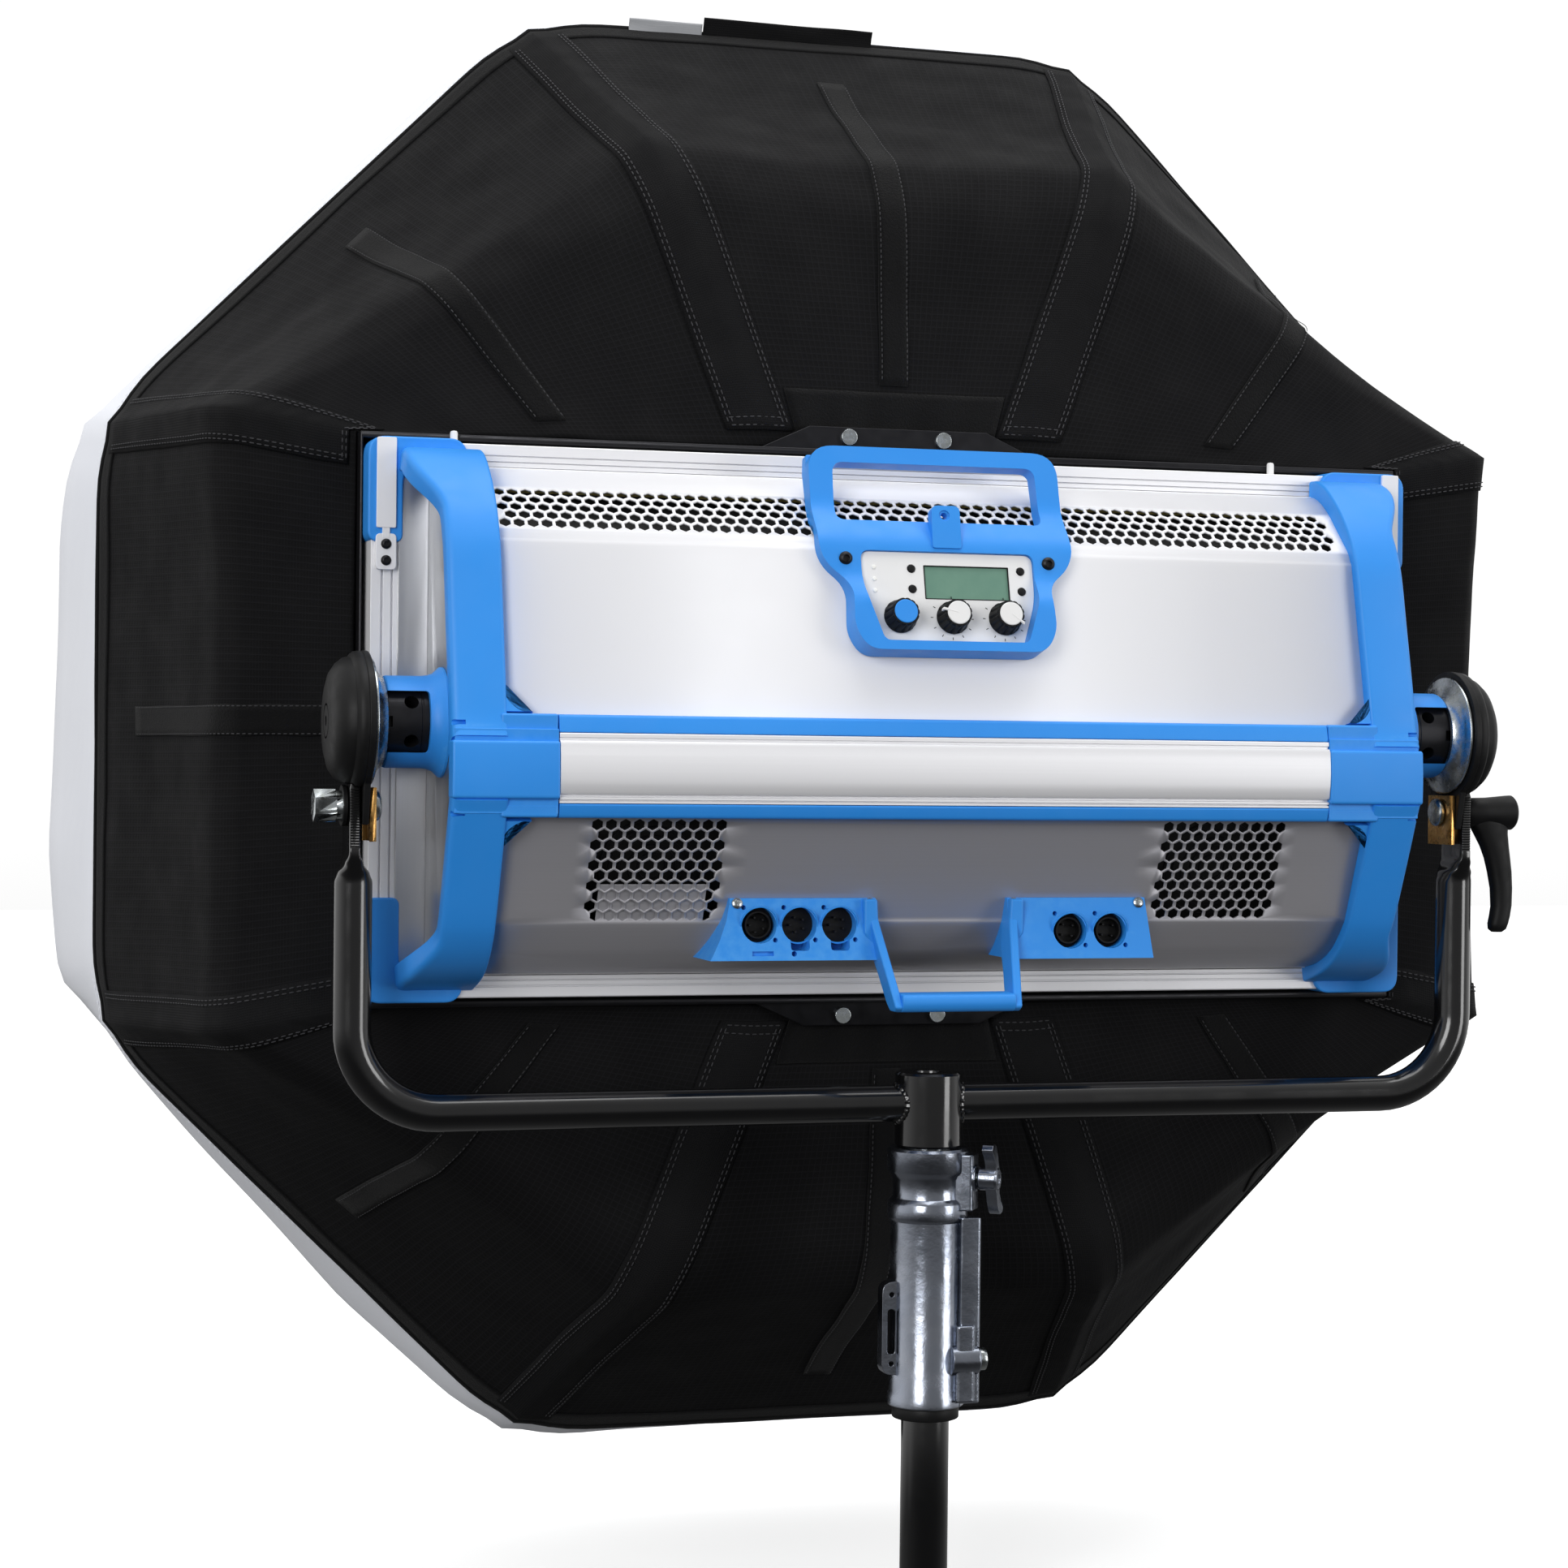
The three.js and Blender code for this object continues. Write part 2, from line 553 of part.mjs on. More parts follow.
function makeEnds(group) {
  addPair(group, 'bumper', makeBumper(), blue);
  const inner = offsetLine(BUMPER_LINE, BUMPER_THICK + 0.6).filter(([y]) => y < 48);
  const front = FRAME_REAR - 2 - GAP;
  const edge = [[front, inner[0][1]], ...inner, [front, inner[inner.length - 1][1]]];
  const plate = alongX(edge.reverse(), END_PLATE.inner, END_PLATE.outer);
  const axleHole = cylinderX(AXLE_RADIUS + GAP, END_PLATE.inner - 5, END_PLATE.outer + 5, 0, 0, 32);
  addPair(group, 'end_plate', cut(toGeometry(toManifold(plate)), axleHole), greySteel);

  const housing = join(
    cylinderX(FLANGE.radius, FLANGE.inner, FLANGE.outer, 0, 0, 36),
    cylinderX(HOUSING_RADIUS, FLANGE.outer - 1, HOUSING_END, 0, 0, 36),
  );
  const hollow = cylinderX(AXLE_RADIUS + GAP, 300, 350, 0, 0, 36);
  const window = box(321, 350, -40, 0, -19, 19);
  addPair(group, 'pivot_housing', cut(housing, hollow, window), blue);

  const coneEnd = DISC_INNER - 0.4;
  const shaftEnd = 345;
  const axle = turned([[0, 300], [AXLE_RADIUS, 300], [AXLE_RADIUS, shaftEnd], [27, shaftEnd], [37.5, 352],
    [38.5, coneEnd], [0, coneEnd]], 36).rotateY(Math.PI / 2);
  const crossHoles = [30, -30].map((angle) => (
    cylinderZ(4, -40, 0, 0, 0, 16).rotateX((angle - 90) * RAD).translate(328, 0, 0)));
  addPair(group, 'pivot_axle', cut(axle, ...crossHoles), darkMetal);
}

function makeControlHandle() {
  const outer = new THREE.Shape();
  outer.moveTo(-56, 46.5);
  outer.lineTo(56, 46.5);
  outer.lineTo(64.5, 57);
  outer.lineTo(64.5, 88);
  outer.lineTo(82, 104);
  outer.lineTo(82, 168);
  outer.quadraticCurveTo(82, 180, 70, 180);
  outer.lineTo(-70, 180);
  outer.quadraticCurveTo(-82, 180, -82, 168);
  outer.lineTo(-82, 104);
  outer.lineTo(-64.5, 88);
  outer.lineTo(-64.5, 57);
  const grip = new THREE.Path();
  grip.moveTo(-67, 140);
  grip.lineTo(-67, 164);
  grip.quadraticCurveTo(-67, 170, -61, 170);
  grip.lineTo(61, 170);
  grip.quadraticCurveTo(67, 170, 67, 164);
  grip.lineTo(67, 140);
  grip.quadraticCurveTo(66, 132, 56, 131);
  grip.lineTo(-56, 131);
  grip.quadraticCurveTo(-66, 132, -67, 140);
  outer.holes.push(grip);
  const recess = outline([[-56, 52], [56, 52], [56, 109.5], [-56, 109.5]]);
  const body = extrude(outer, 11).translate(0, 0, 0.9);
  const pocket = extrude(recess, 10).translate(0, 0, 4.7);
  const tab = cylinderZ(7.5, 4, 15, 0, 134, 24);
  const tabHole = cylinderZ(3, 2, 20, 0, 134, 16);
  const foot = join(box(67.5, 82, 137, 178, -7, 2), box(-82, -67.5, 137, 178, -7, 2));
  return cut(join(body, tab, foot), pocket, tabHole);
}

function roundHole(shape, x, y, radius) {
  const hole = new THREE.Path();
  hole.absarc(x, y, radius, 0, 2 * Math.PI, true);
  shape.holes.push(hole);
}

function makeControls() {
  const group = new THREE.Group();
  group.position.y = PANEL_REAR;
  group.rotation.x = (90 - PANEL_LEAN) * RAD;
  group.add(node('control_handle', makeControlHandle(), blue));

  const { halfWidth, low, high, back, face } = PLATE;
  const plate = outline([[-halfWidth, low], [halfWidth, low], [halfWidth, high], [-halfWidth, high]]);
  for (const x of KNOB.x) roundHole(plate, x, KNOB.y, KNOB.stem + GAP);
  for (const x of BUTTON.x) {
    for (const y of BUTTON.y) roundHole(plate, x, y, BUTTON.radius + GAP);
  }
  const screen = new THREE.Path();
  const [left, right] = DISPLAY.x;
  const [bottom, top] = DISPLAY.y;
  screen.moveTo(left, bottom);
  screen.lineTo(left, top);
  screen.lineTo(right, top);
  screen.lineTo(right, bottom);
  plate.holes.push(screen);
  const geometry = extrude(plate, face - back).translate(0, 0, back);
  group.add(node('control_panel', geometry, white));
  const lens = box(left + GAP, right - GAP, bottom + GAP, top - GAP, back + 0.2, face - 0.8);
  group.add(node('display', lens, frosted));
  return group;
}

function panelGroup() {
  const group = new THREE.Group();
  group.position.set(0, PANEL_REAR, TILT_HEIGHT);
  group.rotation.x = (90 - PANEL_LEAN) * RAD;
  return group;
}

function makeKnobs() {
  const group = panelGroup();
  const names = ['knob_intensity', 'knob_colour', 'knob_tint'];
  KNOB.x.forEach((x, i) => {
    const r = KNOB.radius;
    const knob = turned([[0, PLATE.back + 0.3], [KNOB.stem, PLATE.back + 0.3], [KNOB.stem, PLATE.face + 0.8],
      [r, PLATE.face + 0.8], [r, PLATE.face + 2.5], [r - 1.5, PLATE.face + 4], [r - 2.4, KNOB.top - 1],
      [r - 3.2, KNOB.top], [0, KNOB.top]], 20);
    group.add(node(names[i], knob.translate(x, KNOB.y, 0), i === 0 ? blue : white));
  });
  return group;
}

function makeButtons() {
  const group = panelGroup();
  const names = ['button_menu', 'button_back', 'button_mode', 'button_preset'];
  let i = 0;
  for (const x of BUTTON.x) {
    for (const y of BUTTON.y) {
      const plunger = cylinderZ(BUTTON.radius, PLATE.back + 1.2, BUTTON.top, x, y, 20);
      group.add(node(names[i], plunger, blackPlastic));
      i += 1;
    }
  }
  return group;
}

function makeConnectorHandle() {
  const { inner, outer, top, bottom } = BLOCK;
  const face = [[-20, top], [-29, bottom]];
  const seat = offsetLine(LOWER_COVER, -0.5);
  const along = (z, line) => {
    const i = line.findIndex((point) => point[1] <= z);
    const [a, b] = [line[i - 1], line[i]];
    return a[0] + ((z - a[1]) / (b[1] - a[1])) * (b[0] - a[0]);
  };
  const back = [[along(bottom, seat), bottom], ...seat.filter(([, z]) => z < top && z > bottom).reverse(),
    [along(top, seat), top]];
  const profile = [...face, ...back];
  const right = alongX(profile, inner, outer);
  const left = alongX(profile, -outer, -inner);
  const lean = Math.atan2(29, 65);
  const arms = new THREE.Shape();
  arms.moveTo(-50, 4);
  arms.lineTo(-37, -72);
  arms.lineTo(37, -72);
  arms.lineTo(50, 4);
  arms.lineTo(39, 4);
  arms.lineTo(28, -60);
  arms.lineTo(-28, -60);
  arms.lineTo(-39, 4);
  const handle = extrude(arms, 9).rotateX(Math.PI / 2 - lean).translate(0, -15, top);
  const sockets = [...LEFT_SOCKETS.map((x) => [x, -120.7]), ...RIGHT_SOCKETS.map((x) => [x, -124.9])];
  const cutters = sockets.map(([x, z]) => {
    const bore = new THREE.CylinderGeometry(SOCKET_RADIUS, SOCKET_RADIUS, 40, 28);
    return bore.translate(x, -24 + SOCKET_DEPTH - 20, z);
  });
  const keepOff = alongX([...offsetLine(LOWER_COVER, -0.45), [51, -100], [-20, -40]], -140, 140);
  return cut(join(right, left, handle), ...cutters, toGeometry(toManifold(keepOff)));
}

function makeInside(group) {
  const fins = [];
  const count = 13;
  const base = { back: 68.5, front: 74 };
  const fin = 2;
  const low = -140;
  const pitch = 23.3;
  fins.push([base.front, low], [base.front, low + (count - 1) * pitch + fin]);
  for (let i = count - 1; i >= 0; i -= 1) {
    const z = low + i * pitch;
    const reach = 14 + Math.max(0, Math.abs(z) - 90) * 0.5;
    fins.push([reach, z + fin], [reach, z]);
    if (i > 0) fins.push([base.back, z], [base.back, z - pitch + fin]);
  }
  group.add(node('heat_sink', alongX(fins, -300, 300), darkMetal));
  group.add(node('led_board', box(-318, 318, 74.4, 77, -146, 149), ledYellow));
  group.add(node('light_diffuser', box(-321, 321, 92, 95, -146.6, 149.6), frosted));
}

// ---------------------------------------------------------------- softbox
// Height of the cloth in front of the tilt axis, against the way out from the head to the rim.
const BOWL = [[0, 80], [0.25, 82.5], [0.5, 88], [0.62, 106], [0.7, 146], [0.78, 190], [0.88, 237],
  [1, RIM_REAR]];

function bowlHeight(t) {
  const i = Math.max(1, BOWL.findIndex(([s]) => s >= t));
  const [t0, y0] = BOWL[i - 1];
  const [t1, y1] = BOWL[i];
  return y0 + ((t - t0) / (t1 - t0)) * (y1 - y0);
}

const RIM_HALF_SIDE = RIM_FLAT * Math.tan(Math.PI / 8);
const RIB_STARTS = [[RIB_X, BACK_TOP], [BACK_HALF_WIDTH, BACK_TOP], [BACK_HALF_WIDTH, BACK_BOTTOM],
  [RIB_X, BACK_BOTTOM], [-RIB_X, BACK_BOTTOM], [-BACK_HALF_WIDTH, BACK_BOTTOM], [-BACK_HALF_WIDTH, BACK_TOP],
  [-RIB_X, BACK_TOP]];
const RIM_CORNERS = [[RIM_HALF_SIDE, RIM_FLAT], [RIM_FLAT, RIM_HALF_SIDE], [RIM_FLAT, -RIM_HALF_SIDE],
  [RIM_HALF_SIDE, -RIM_FLAT], [-RIM_HALF_SIDE, -RIM_FLAT], [-RIM_FLAT, -RIM_HALF_SIDE],
  [-RIM_FLAT, RIM_HALF_SIDE], [-RIM_HALF_SIDE, RIM_FLAT]];

// A point of the cloth's outer side, moved inwards by depth square to the cloth.
function bowlPoint(start, end, t, depth) {
  const dx = end[0] - start[0];
  const dz = end[1] - start[1];
  const reach = Math.hypot(dx, dz);
  const step = 0.02;
  const slope = (bowlHeight(Math.min(t + step, 1)) - bowlHeight(Math.max(t - step, 0)))
    / ((Math.min(t + step, 1) - Math.max(t - step, 0)) * reach);
  const run = Math.hypot(1, slope);
  const inwards = (depth * slope) / run;
  return new THREE.Vector3(
    start[0] + dx * t - (dx / reach) * inwards,
    bowlHeight(t) + depth / run,
    start[1] + dz * t - (dz / reach) * inwards,
  );
}

function between(a, b, share) {
  return [a[0] + (b[0] - a[0]) * share, a[1] + (b[1] - a[1]) * share];
}

// A ring of points right round the cloth at t, moved inwards by depth.
function bowlRing(t, depth) {
  const across = 2;
  const ring = [];
  for (let corner = 0; corner < 8; corner += 1) {
    const next = (corner + 1) % 8;
    for (let j = 0; j < across; j += 1) {
      const start = between(RIB_STARTS[corner], RIB_STARTS[next], j / across);
      const end = between(RIM_CORNERS[corner], RIM_CORNERS[next], j / across);
      ring.push(bowlPoint(start, end, t, depth));
    }
  }
  return ring;
}

function atDepth(ring, y) {
  return ring.map((point) => new THREE.Vector3(point.x, y, point.z));
}

// The bowl's outer solid less its inner one, which runs out through the back opening and the rim.
function makeSkin() {
  const outer = BOWL.map(([t]) => bowlRing(t, 0));
  const edge = 0.01;
  const inner = BOWL.map(([t]) => bowlRing(Math.max(t, edge), SKIN));
  const through = [atDepth(inner[0], 60), ...inner, atDepth(inner[inner.length - 1], RIM_REAR + 10)];
  return cut(loft(outer), loft(through));
}

function makeRib(corner) {
  const [start, end] = [RIB_STARTS[corner], RIM_CORNERS[corner]];
  const half = 4;
  const along = new THREE.Vector3(end[0] - start[0], 0, end[1] - start[1]).normalize();
  const side = new THREE.Vector3(along.z, 0, -along.x);
  const near = SKIN + 4.5;
  const far = near + 2.5;
  const rings = [];
  for (const t of [0.05, 0.25, 0.5, 0.62, 0.7, 0.78, 0.88, 0.97]) {
    const outer = bowlPoint(start, end, t, near);
    const inner = bowlPoint(start, end, t, far);
    rings.push([outer.clone().addScaledVector(side, -half), outer.clone().addScaledVector(side, half),
      inner.clone().addScaledVector(side, half), inner.clone().addScaledVector(side, -half)]);
  }
  return loft(rings);
}

function makeFrontCap() {
  const inset = 2.5;
  const ring = (flat, y) => RIM_CORNERS.map(([x, z]) => {
    const scale = flat / RIM_FLAT;
    return new THREE.Vector3(x * scale, y, z * scale);
  });
  const outside = [ring(RIM_FLAT, RIM_REAR + GAP), ring(RIM_FLAT + 1, CAP_FRONT - 8),
    ring(RIM_FLAT - 7, CAP_FRONT)];
  const hollow = [ring(RIM_FLAT - inset, RIM_REAR - 1), ring(RIM_FLAT - inset, CAP_FRONT - 9),
    ring(RIM_FLAT - 8.5, CAP_FRONT - CAP_SKIN)];
  return cut(loft(outside), loft(hollow));
}

function makeMountFrame() {
  const out = BACK_HALF_WIDTH - 0.9;
  const hole = HEAD_HALF_WIDTH + CORNER_PROUD + 0.4;
  const top = HEAD_TOP + CORNER_PROUD;
  const low = HEAD_BOTTOM - CORNER_PROUD;
  const frame = cut(
    box(-out, out, 68, 102, BACK_BOTTOM + 0.9, BACK_TOP - 0.9),
    box(-hole, hole, 60, 110, low - 0.4, top + 0.4),
  );
  const ear = (edge, sign) => {
    const tip = edge + sign * EAR.height;
    const points = [[-EAR.low, edge], [-EAR.high, tip], [EAR.high, tip], [EAR.low, edge]];
    if (sign > 0) points.reverse();
    return alongY(points, EAR.rear, EAR.front);
  };
  return join(frame, ear(BACK_TOP - 2, 1), ear(BACK_BOTTOM + 2, -1));
}

function makeSoftbox(group) {
  group.add(node('softbox_skin', makeSkin(), cloth));
  for (let corner = 0; corner < 8; corner += 1) {
    group.add(node(`rib_${corner + 1}`, makeRib(corner), steel));
  }
  group.add(node('softbox_mount_frame', makeMountFrame(), aluminium));
  group.add(node('front_diffuser', makeFrontCap(), whiteCloth));
}

// ---------------------------------------------------------------- assembly
const object = new THREE.Group();
object.add(makeStand());
object.add(makeTHandle());
object.add(makeYoke());
object.add(makeTiltLever());

const head = new THREE.Group();
head.position.z = TILT_HEIGHT;
makeRails(head);
makeCorners(head);
makeCovers(head);
makeEnds(head);
makeInside(head);
head.add(makeControls());
head.add(node('connector_handle', makeConnectorHandle(), blue));
makeSoftbox(head);
object.add(head);
object.add(makeKnobs());
object.add(makeButtons());

export default object;
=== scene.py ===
"""A studio softbox on an LED panel light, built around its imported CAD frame. Blender 4.5, metres, +Z up.

Sizes below are in millimetres from the tilt axis unless a comment says otherwise: +Y is the way the light
shines, +X is to the right seen from behind the light.
"""

import json
import math

import bmesh
import bpy
import numpy as np
from mathutils import Matrix, Vector, geometry, noise


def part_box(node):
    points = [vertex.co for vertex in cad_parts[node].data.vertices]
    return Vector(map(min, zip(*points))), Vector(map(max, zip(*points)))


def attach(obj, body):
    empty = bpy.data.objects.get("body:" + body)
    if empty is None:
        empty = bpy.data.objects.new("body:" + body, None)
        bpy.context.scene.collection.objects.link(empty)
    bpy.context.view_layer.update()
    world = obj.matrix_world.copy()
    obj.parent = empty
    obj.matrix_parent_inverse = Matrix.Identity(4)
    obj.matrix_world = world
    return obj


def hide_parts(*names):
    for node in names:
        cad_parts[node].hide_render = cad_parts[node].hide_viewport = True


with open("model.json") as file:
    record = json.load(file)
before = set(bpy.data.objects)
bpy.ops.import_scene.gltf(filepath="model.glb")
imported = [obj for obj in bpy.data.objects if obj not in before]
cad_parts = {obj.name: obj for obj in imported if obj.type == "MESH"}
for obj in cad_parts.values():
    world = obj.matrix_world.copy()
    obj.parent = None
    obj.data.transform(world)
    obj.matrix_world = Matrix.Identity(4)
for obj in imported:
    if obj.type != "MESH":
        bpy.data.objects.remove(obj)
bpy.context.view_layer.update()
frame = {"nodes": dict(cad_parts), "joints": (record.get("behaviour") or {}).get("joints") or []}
TILT = next(j["pos_m"][2] for j in frame["joints"] if j["name"] == "tilt") * 1000

# ---------------------------------------------------------------- driving sizes
HEAD_X = 345.0                    # half width over the rails
HEAD_TOP = 172.0
HEAD_LOW = -169.0
FRAME_REAR = 52.0
FRAME_FRONT = 98.0
RAIL = 14.0
SIDE_RAIL = 17.5
CORNER_LENGTH = 57.0
CORNER_DROP = 62.0
COVER_X = 280.0
SPINE_X = 248.0
BUMPER_X = 312.0
PANEL_LEAN = math.radians(14)
PANEL_REAR = -40.0
LIGHT_LEAN = math.radians(24)
TAU = 2 * math.pi


# ---------------------------------------------------------------- mesh helpers
def ease(x, a, b):
    s = min(max((x - a) / (b - a), 0), 1)
    return s * s * (3 - 2 * s)


def to_world(points):
    """Points in millimetres from the tilt axis, as metres in the row frame."""
    p = np.asarray(points, float).reshape(-1, 3).copy()
    p[:, 2] += TILT
    return p / 1000


class Build:
    """Collects closed shapes in millimetres and turns them into one object."""

    def __init__(self):
        self.verts, self.faces = [], []

    def add(self, verts, faces):
        start = len(self.verts)
        self.verts.extend([tuple(map(float, v)) for v in verts])
        self.faces.extend([tuple(i + start for i in f) for f in faces])
        return self

    def loft(self, rings, close_rings=False, caps=True):
        """Joins rings of equal length; close_rings joins the last ring to the first."""
        n = len(rings[0])
        verts = [p for ring in rings for p in ring]
        faces = []
        spans = len(rings) if close_rings else len(rings) - 1
        for i in range(spans):
            a, b = i * n, ((i + 1) % len(rings)) * n
            faces += [(a + j, a + (j + 1) % n, b + (j + 1) % n, b + j) for j in range(n)]
        if caps and not close_rings:
            last = (len(rings) - 1) * n
            faces += [tuple(reversed(range(n))), tuple(range(last, last + n))]
        return self.add(verts, faces)

    def prism(self, outline, axis, low, high):
        """An outline drawn along axis: x takes (y, z) points, y takes (x, z) and z takes (x, y)."""
        place = {"x": lambda a, b, c: (c, a, b), "y": lambda a, b, c: (a, c, b), "z": lambda a, b,
                 c: (a, b, c)}[axis]
        rings = [[place(a, b, c) for a, b in outline] for c in (low, high)]
        return self.loft(rings)

    def box(self, x0, x1, y0, y1, z0, z1):
        return self.prism([(y0, z0), (y1, z0), (y1, z1), (y0, z1)], "x", x0, x1)

    def turned(self, profile, axis="z", centre=(0, 0, 0), sides=64, closed=False):
        """Spins (height, radius) points about an axis through centre; radius 0 ends in one point."""
        rings = []
        for h, r in profile:
            r = max(r, 1e-4)
            ring = []
            for i in range(sides):
                a = TAU * i / sides
                c, s = r * math.cos(a), r * math.sin(a)
                p = {"x": (h, c, s), "y": (c, h, s), "z": (c, s, h)}[axis]
                ring.append(tuple(p[k] + centre[k] for k in range(3)))
            rings.append(ring)
        return self.loft(rings, close_rings=closed)

    def tube(self, path, radius, sides=24):
        """A round bar along a path; radius is one number, or one for each point."""
        pts = [Vector(p) for p in path]
        rings = []
        side = None
        for i, p in enumerate(pts):
            ahead = pts[min(i + 1, len(pts) - 1)] - pts[max(i - 1, 0)]
            ahead.normalize()
            if side is None:
                side = ahead.orthogonal().normalized()
            side = (side - ahead * side.dot(ahead)).normalized()
            up = ahead.cross(side)
            r = radius[i] if hasattr(radius, "__len__") else radius
            rings.append([tuple(p + side * r * math.cos(TAU * k / sides) + up * r * math.sin(TAU * k / sides))
                          for k in range(sides)])
        return self.loft(rings)

    def moved(self, matrix, start=0):
        for i in range(start, len(self.verts)):
            self.verts[i] = tuple(matrix @ Vector(self.verts[i]))
        return self

    def mirror_x(self):
        other = Build()
        other.verts = [(-x, y, z) for x, y, z in self.verts]
        other.faces = [tuple(reversed(f)) for f in self.faces]
        return other

    def mesh(self, name):
        me = bpy.data.meshes.new(name)
        me.from_pydata([tuple(v) for v in to_world(self.verts)], [], self.faces)
        bm = bmesh.new()
        bm.from_mesh(me)
        bmesh.ops.remove_doubles(bm, verts=bm.verts, dist=1e-6)
        bmesh.ops.recalc_face_normals(bm, faces=bm.faces)
        bm.to_mesh(me)
        bm.free()
        return me

    def object(self, name):
        ob = bpy.data.objects.new(name, self.mesh(name))
        bpy.context.scene.collection.objects.link(ob)
        return ob


def applied(ob):
    """Applies every modifier of ob to its mesh."""
    bpy.context.view_layer.update()
    dg = bpy.context.evaluated_depsgraph_get()
    me = bpy.data.meshes.new_from_object(ob.evaluated_get(dg))
    ob.modifiers.clear()
    ob.data = me
    return ob


def boolean(ob, *cutters, operation="DIFFERENCE"):
    """Cuts (or joins) Build shapes out of ob, exactly."""
    for build in cutters:
        tool = build.object("tool")
        m = ob.modifiers.new("bool", "BOOLEAN")
        m.operation, m.solver, m.object = operation, "EXACT", tool
        applied(ob)
        bpy.data.objects.remove(tool)
    return ob


def soften(ob, bevel=0.0, segments=3, angle=30):
    """Rounds the sharp edges by bevel millimetres and smooths the shading between them."""
    if bevel:
        m = ob.modifiers.new("bevel", "BEVEL")
        m.width, m.segments, m.limit_method = bevel / 1000, segments, "ANGLE"
        m.angle_limit = math.radians(angle)
        m.harden_normals = True
        m.use_clamp_overlap = True
    for p in ob.data.polygons:
        p.use_smooth = True
    try:
        ob.data.set_sharp_from_angle(angle=math.radians(angle))
    except AttributeError:
        pass
    return ob


def piece(build, name, material, body, replaces=(), bevel=0.0, segments=3, angle=30, cut=()):
    """Makes one finished piece from a Build or an object."""
    ob = build.object(name) if isinstance(build, Build) else build
    ob.name = name
    if cut:
        boolean(ob, *cut)
    soften(ob, bevel, segments, angle)
    ob.data.materials.clear()
    ob.data.materials.append(material)
    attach(ob, body)
    if replaces:
        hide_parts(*replaces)
    return ob


def dress(node, material, bevel=0.5, angle=30, segments=2):
    """Gives a CAD node its finish and soft edges, leaving its mesh alone."""
    ob = frame["nodes"][node]
    ob.data.materials.clear()
    ob.data.materials.append(material)
    weld = ob.modifiers.new("weld", "WELD")
    weld.merge_threshold = 1e-5
    for p in ob.data.polygons:
        p.use_smooth = True
    if bevel:
        m = ob.modifiers.new("bevel", "BEVEL")
        m.width, m.segments, m.limit_method = bevel / 1000, segments, "ANGLE"
        m.angle_limit = math.radians(angle)
        m.harden_normals = True
    return ob


def smooth_curve(points, step=2.0):
    """Catmull-Rom through the points, sampled about every step millimetres."""
    pts = [Vector(p) for p in points]
    out = []
    for i in range(len(pts) - 1):
        p0, p1, p2 = pts[max(i - 1, 0)], pts[i], pts[i + 1]
        p3 = pts[min(i + 2, len(pts) - 1)]
        n = max(1, int(round((p2 - p1).length / step)))
        for k in range(n):
            t = k / n
            out.append(0.5 * ((2 * p1) + (p2 - p0) * t + (2 * p0 - 5 * p1 + 4 * p2 - p3) * t * t
                              + (3 * p1 - p0 - 3 * p2 + p3) * t ** 3))
    out.append(pts[-1])
    return [tuple(p) for p in out]


def rounded(points, radius, arc=5):
    """Rounds the corners of a closed outline of (a, b) points; radius may be a list."""
    out = []
    n = len(points)
    for i in range(n):
        r = radius[i] if hasattr(radius, "__len__") else radius
        p, a, b = Vector(points[i]), Vector(points[i - 1]), Vector(points[(i + 1) % n])
        u, v = (a - p), (b - p)
        cut = min(r, 0.49 * u.length, 0.49 * v.length)
        if cut < 1e-3:
            out.append(tuple(p))
            continue
        u, v = u.normalized() * cut, v.normalized() * cut
        for k in range(arc + 1):
            t = k / arc
            out.append(tuple(p + u * (1 - t) ** 2 + v * t ** 2))
    return out


def offset_line(line, distance):
    """An open line of (a, b) points moved sideways, to its left."""
    out = []
    for i, p in enumerate(line):
        a, b = line[max(i - 1, 0)], line[min(i + 1, len(line) - 1)]
        d = math.hypot(b[0] - a[0], b[1] - a[1])
        out.append((p[0] - (b[1] - a[1]) / d * distance, p[1] + (b[0] - a[0]) / d * distance))
    return out


# ---------------------------------------------------------------- material helpers
def srgb(r, g, b):
    """An 0-255 screen colour as linear RGBA."""
    lin = [((c / 255 + 0.055) / 1.055) ** 2.4 if c > 10 else c / 255 / 12.92 for c in (r, g, b)]
    return (*lin, 1.0)


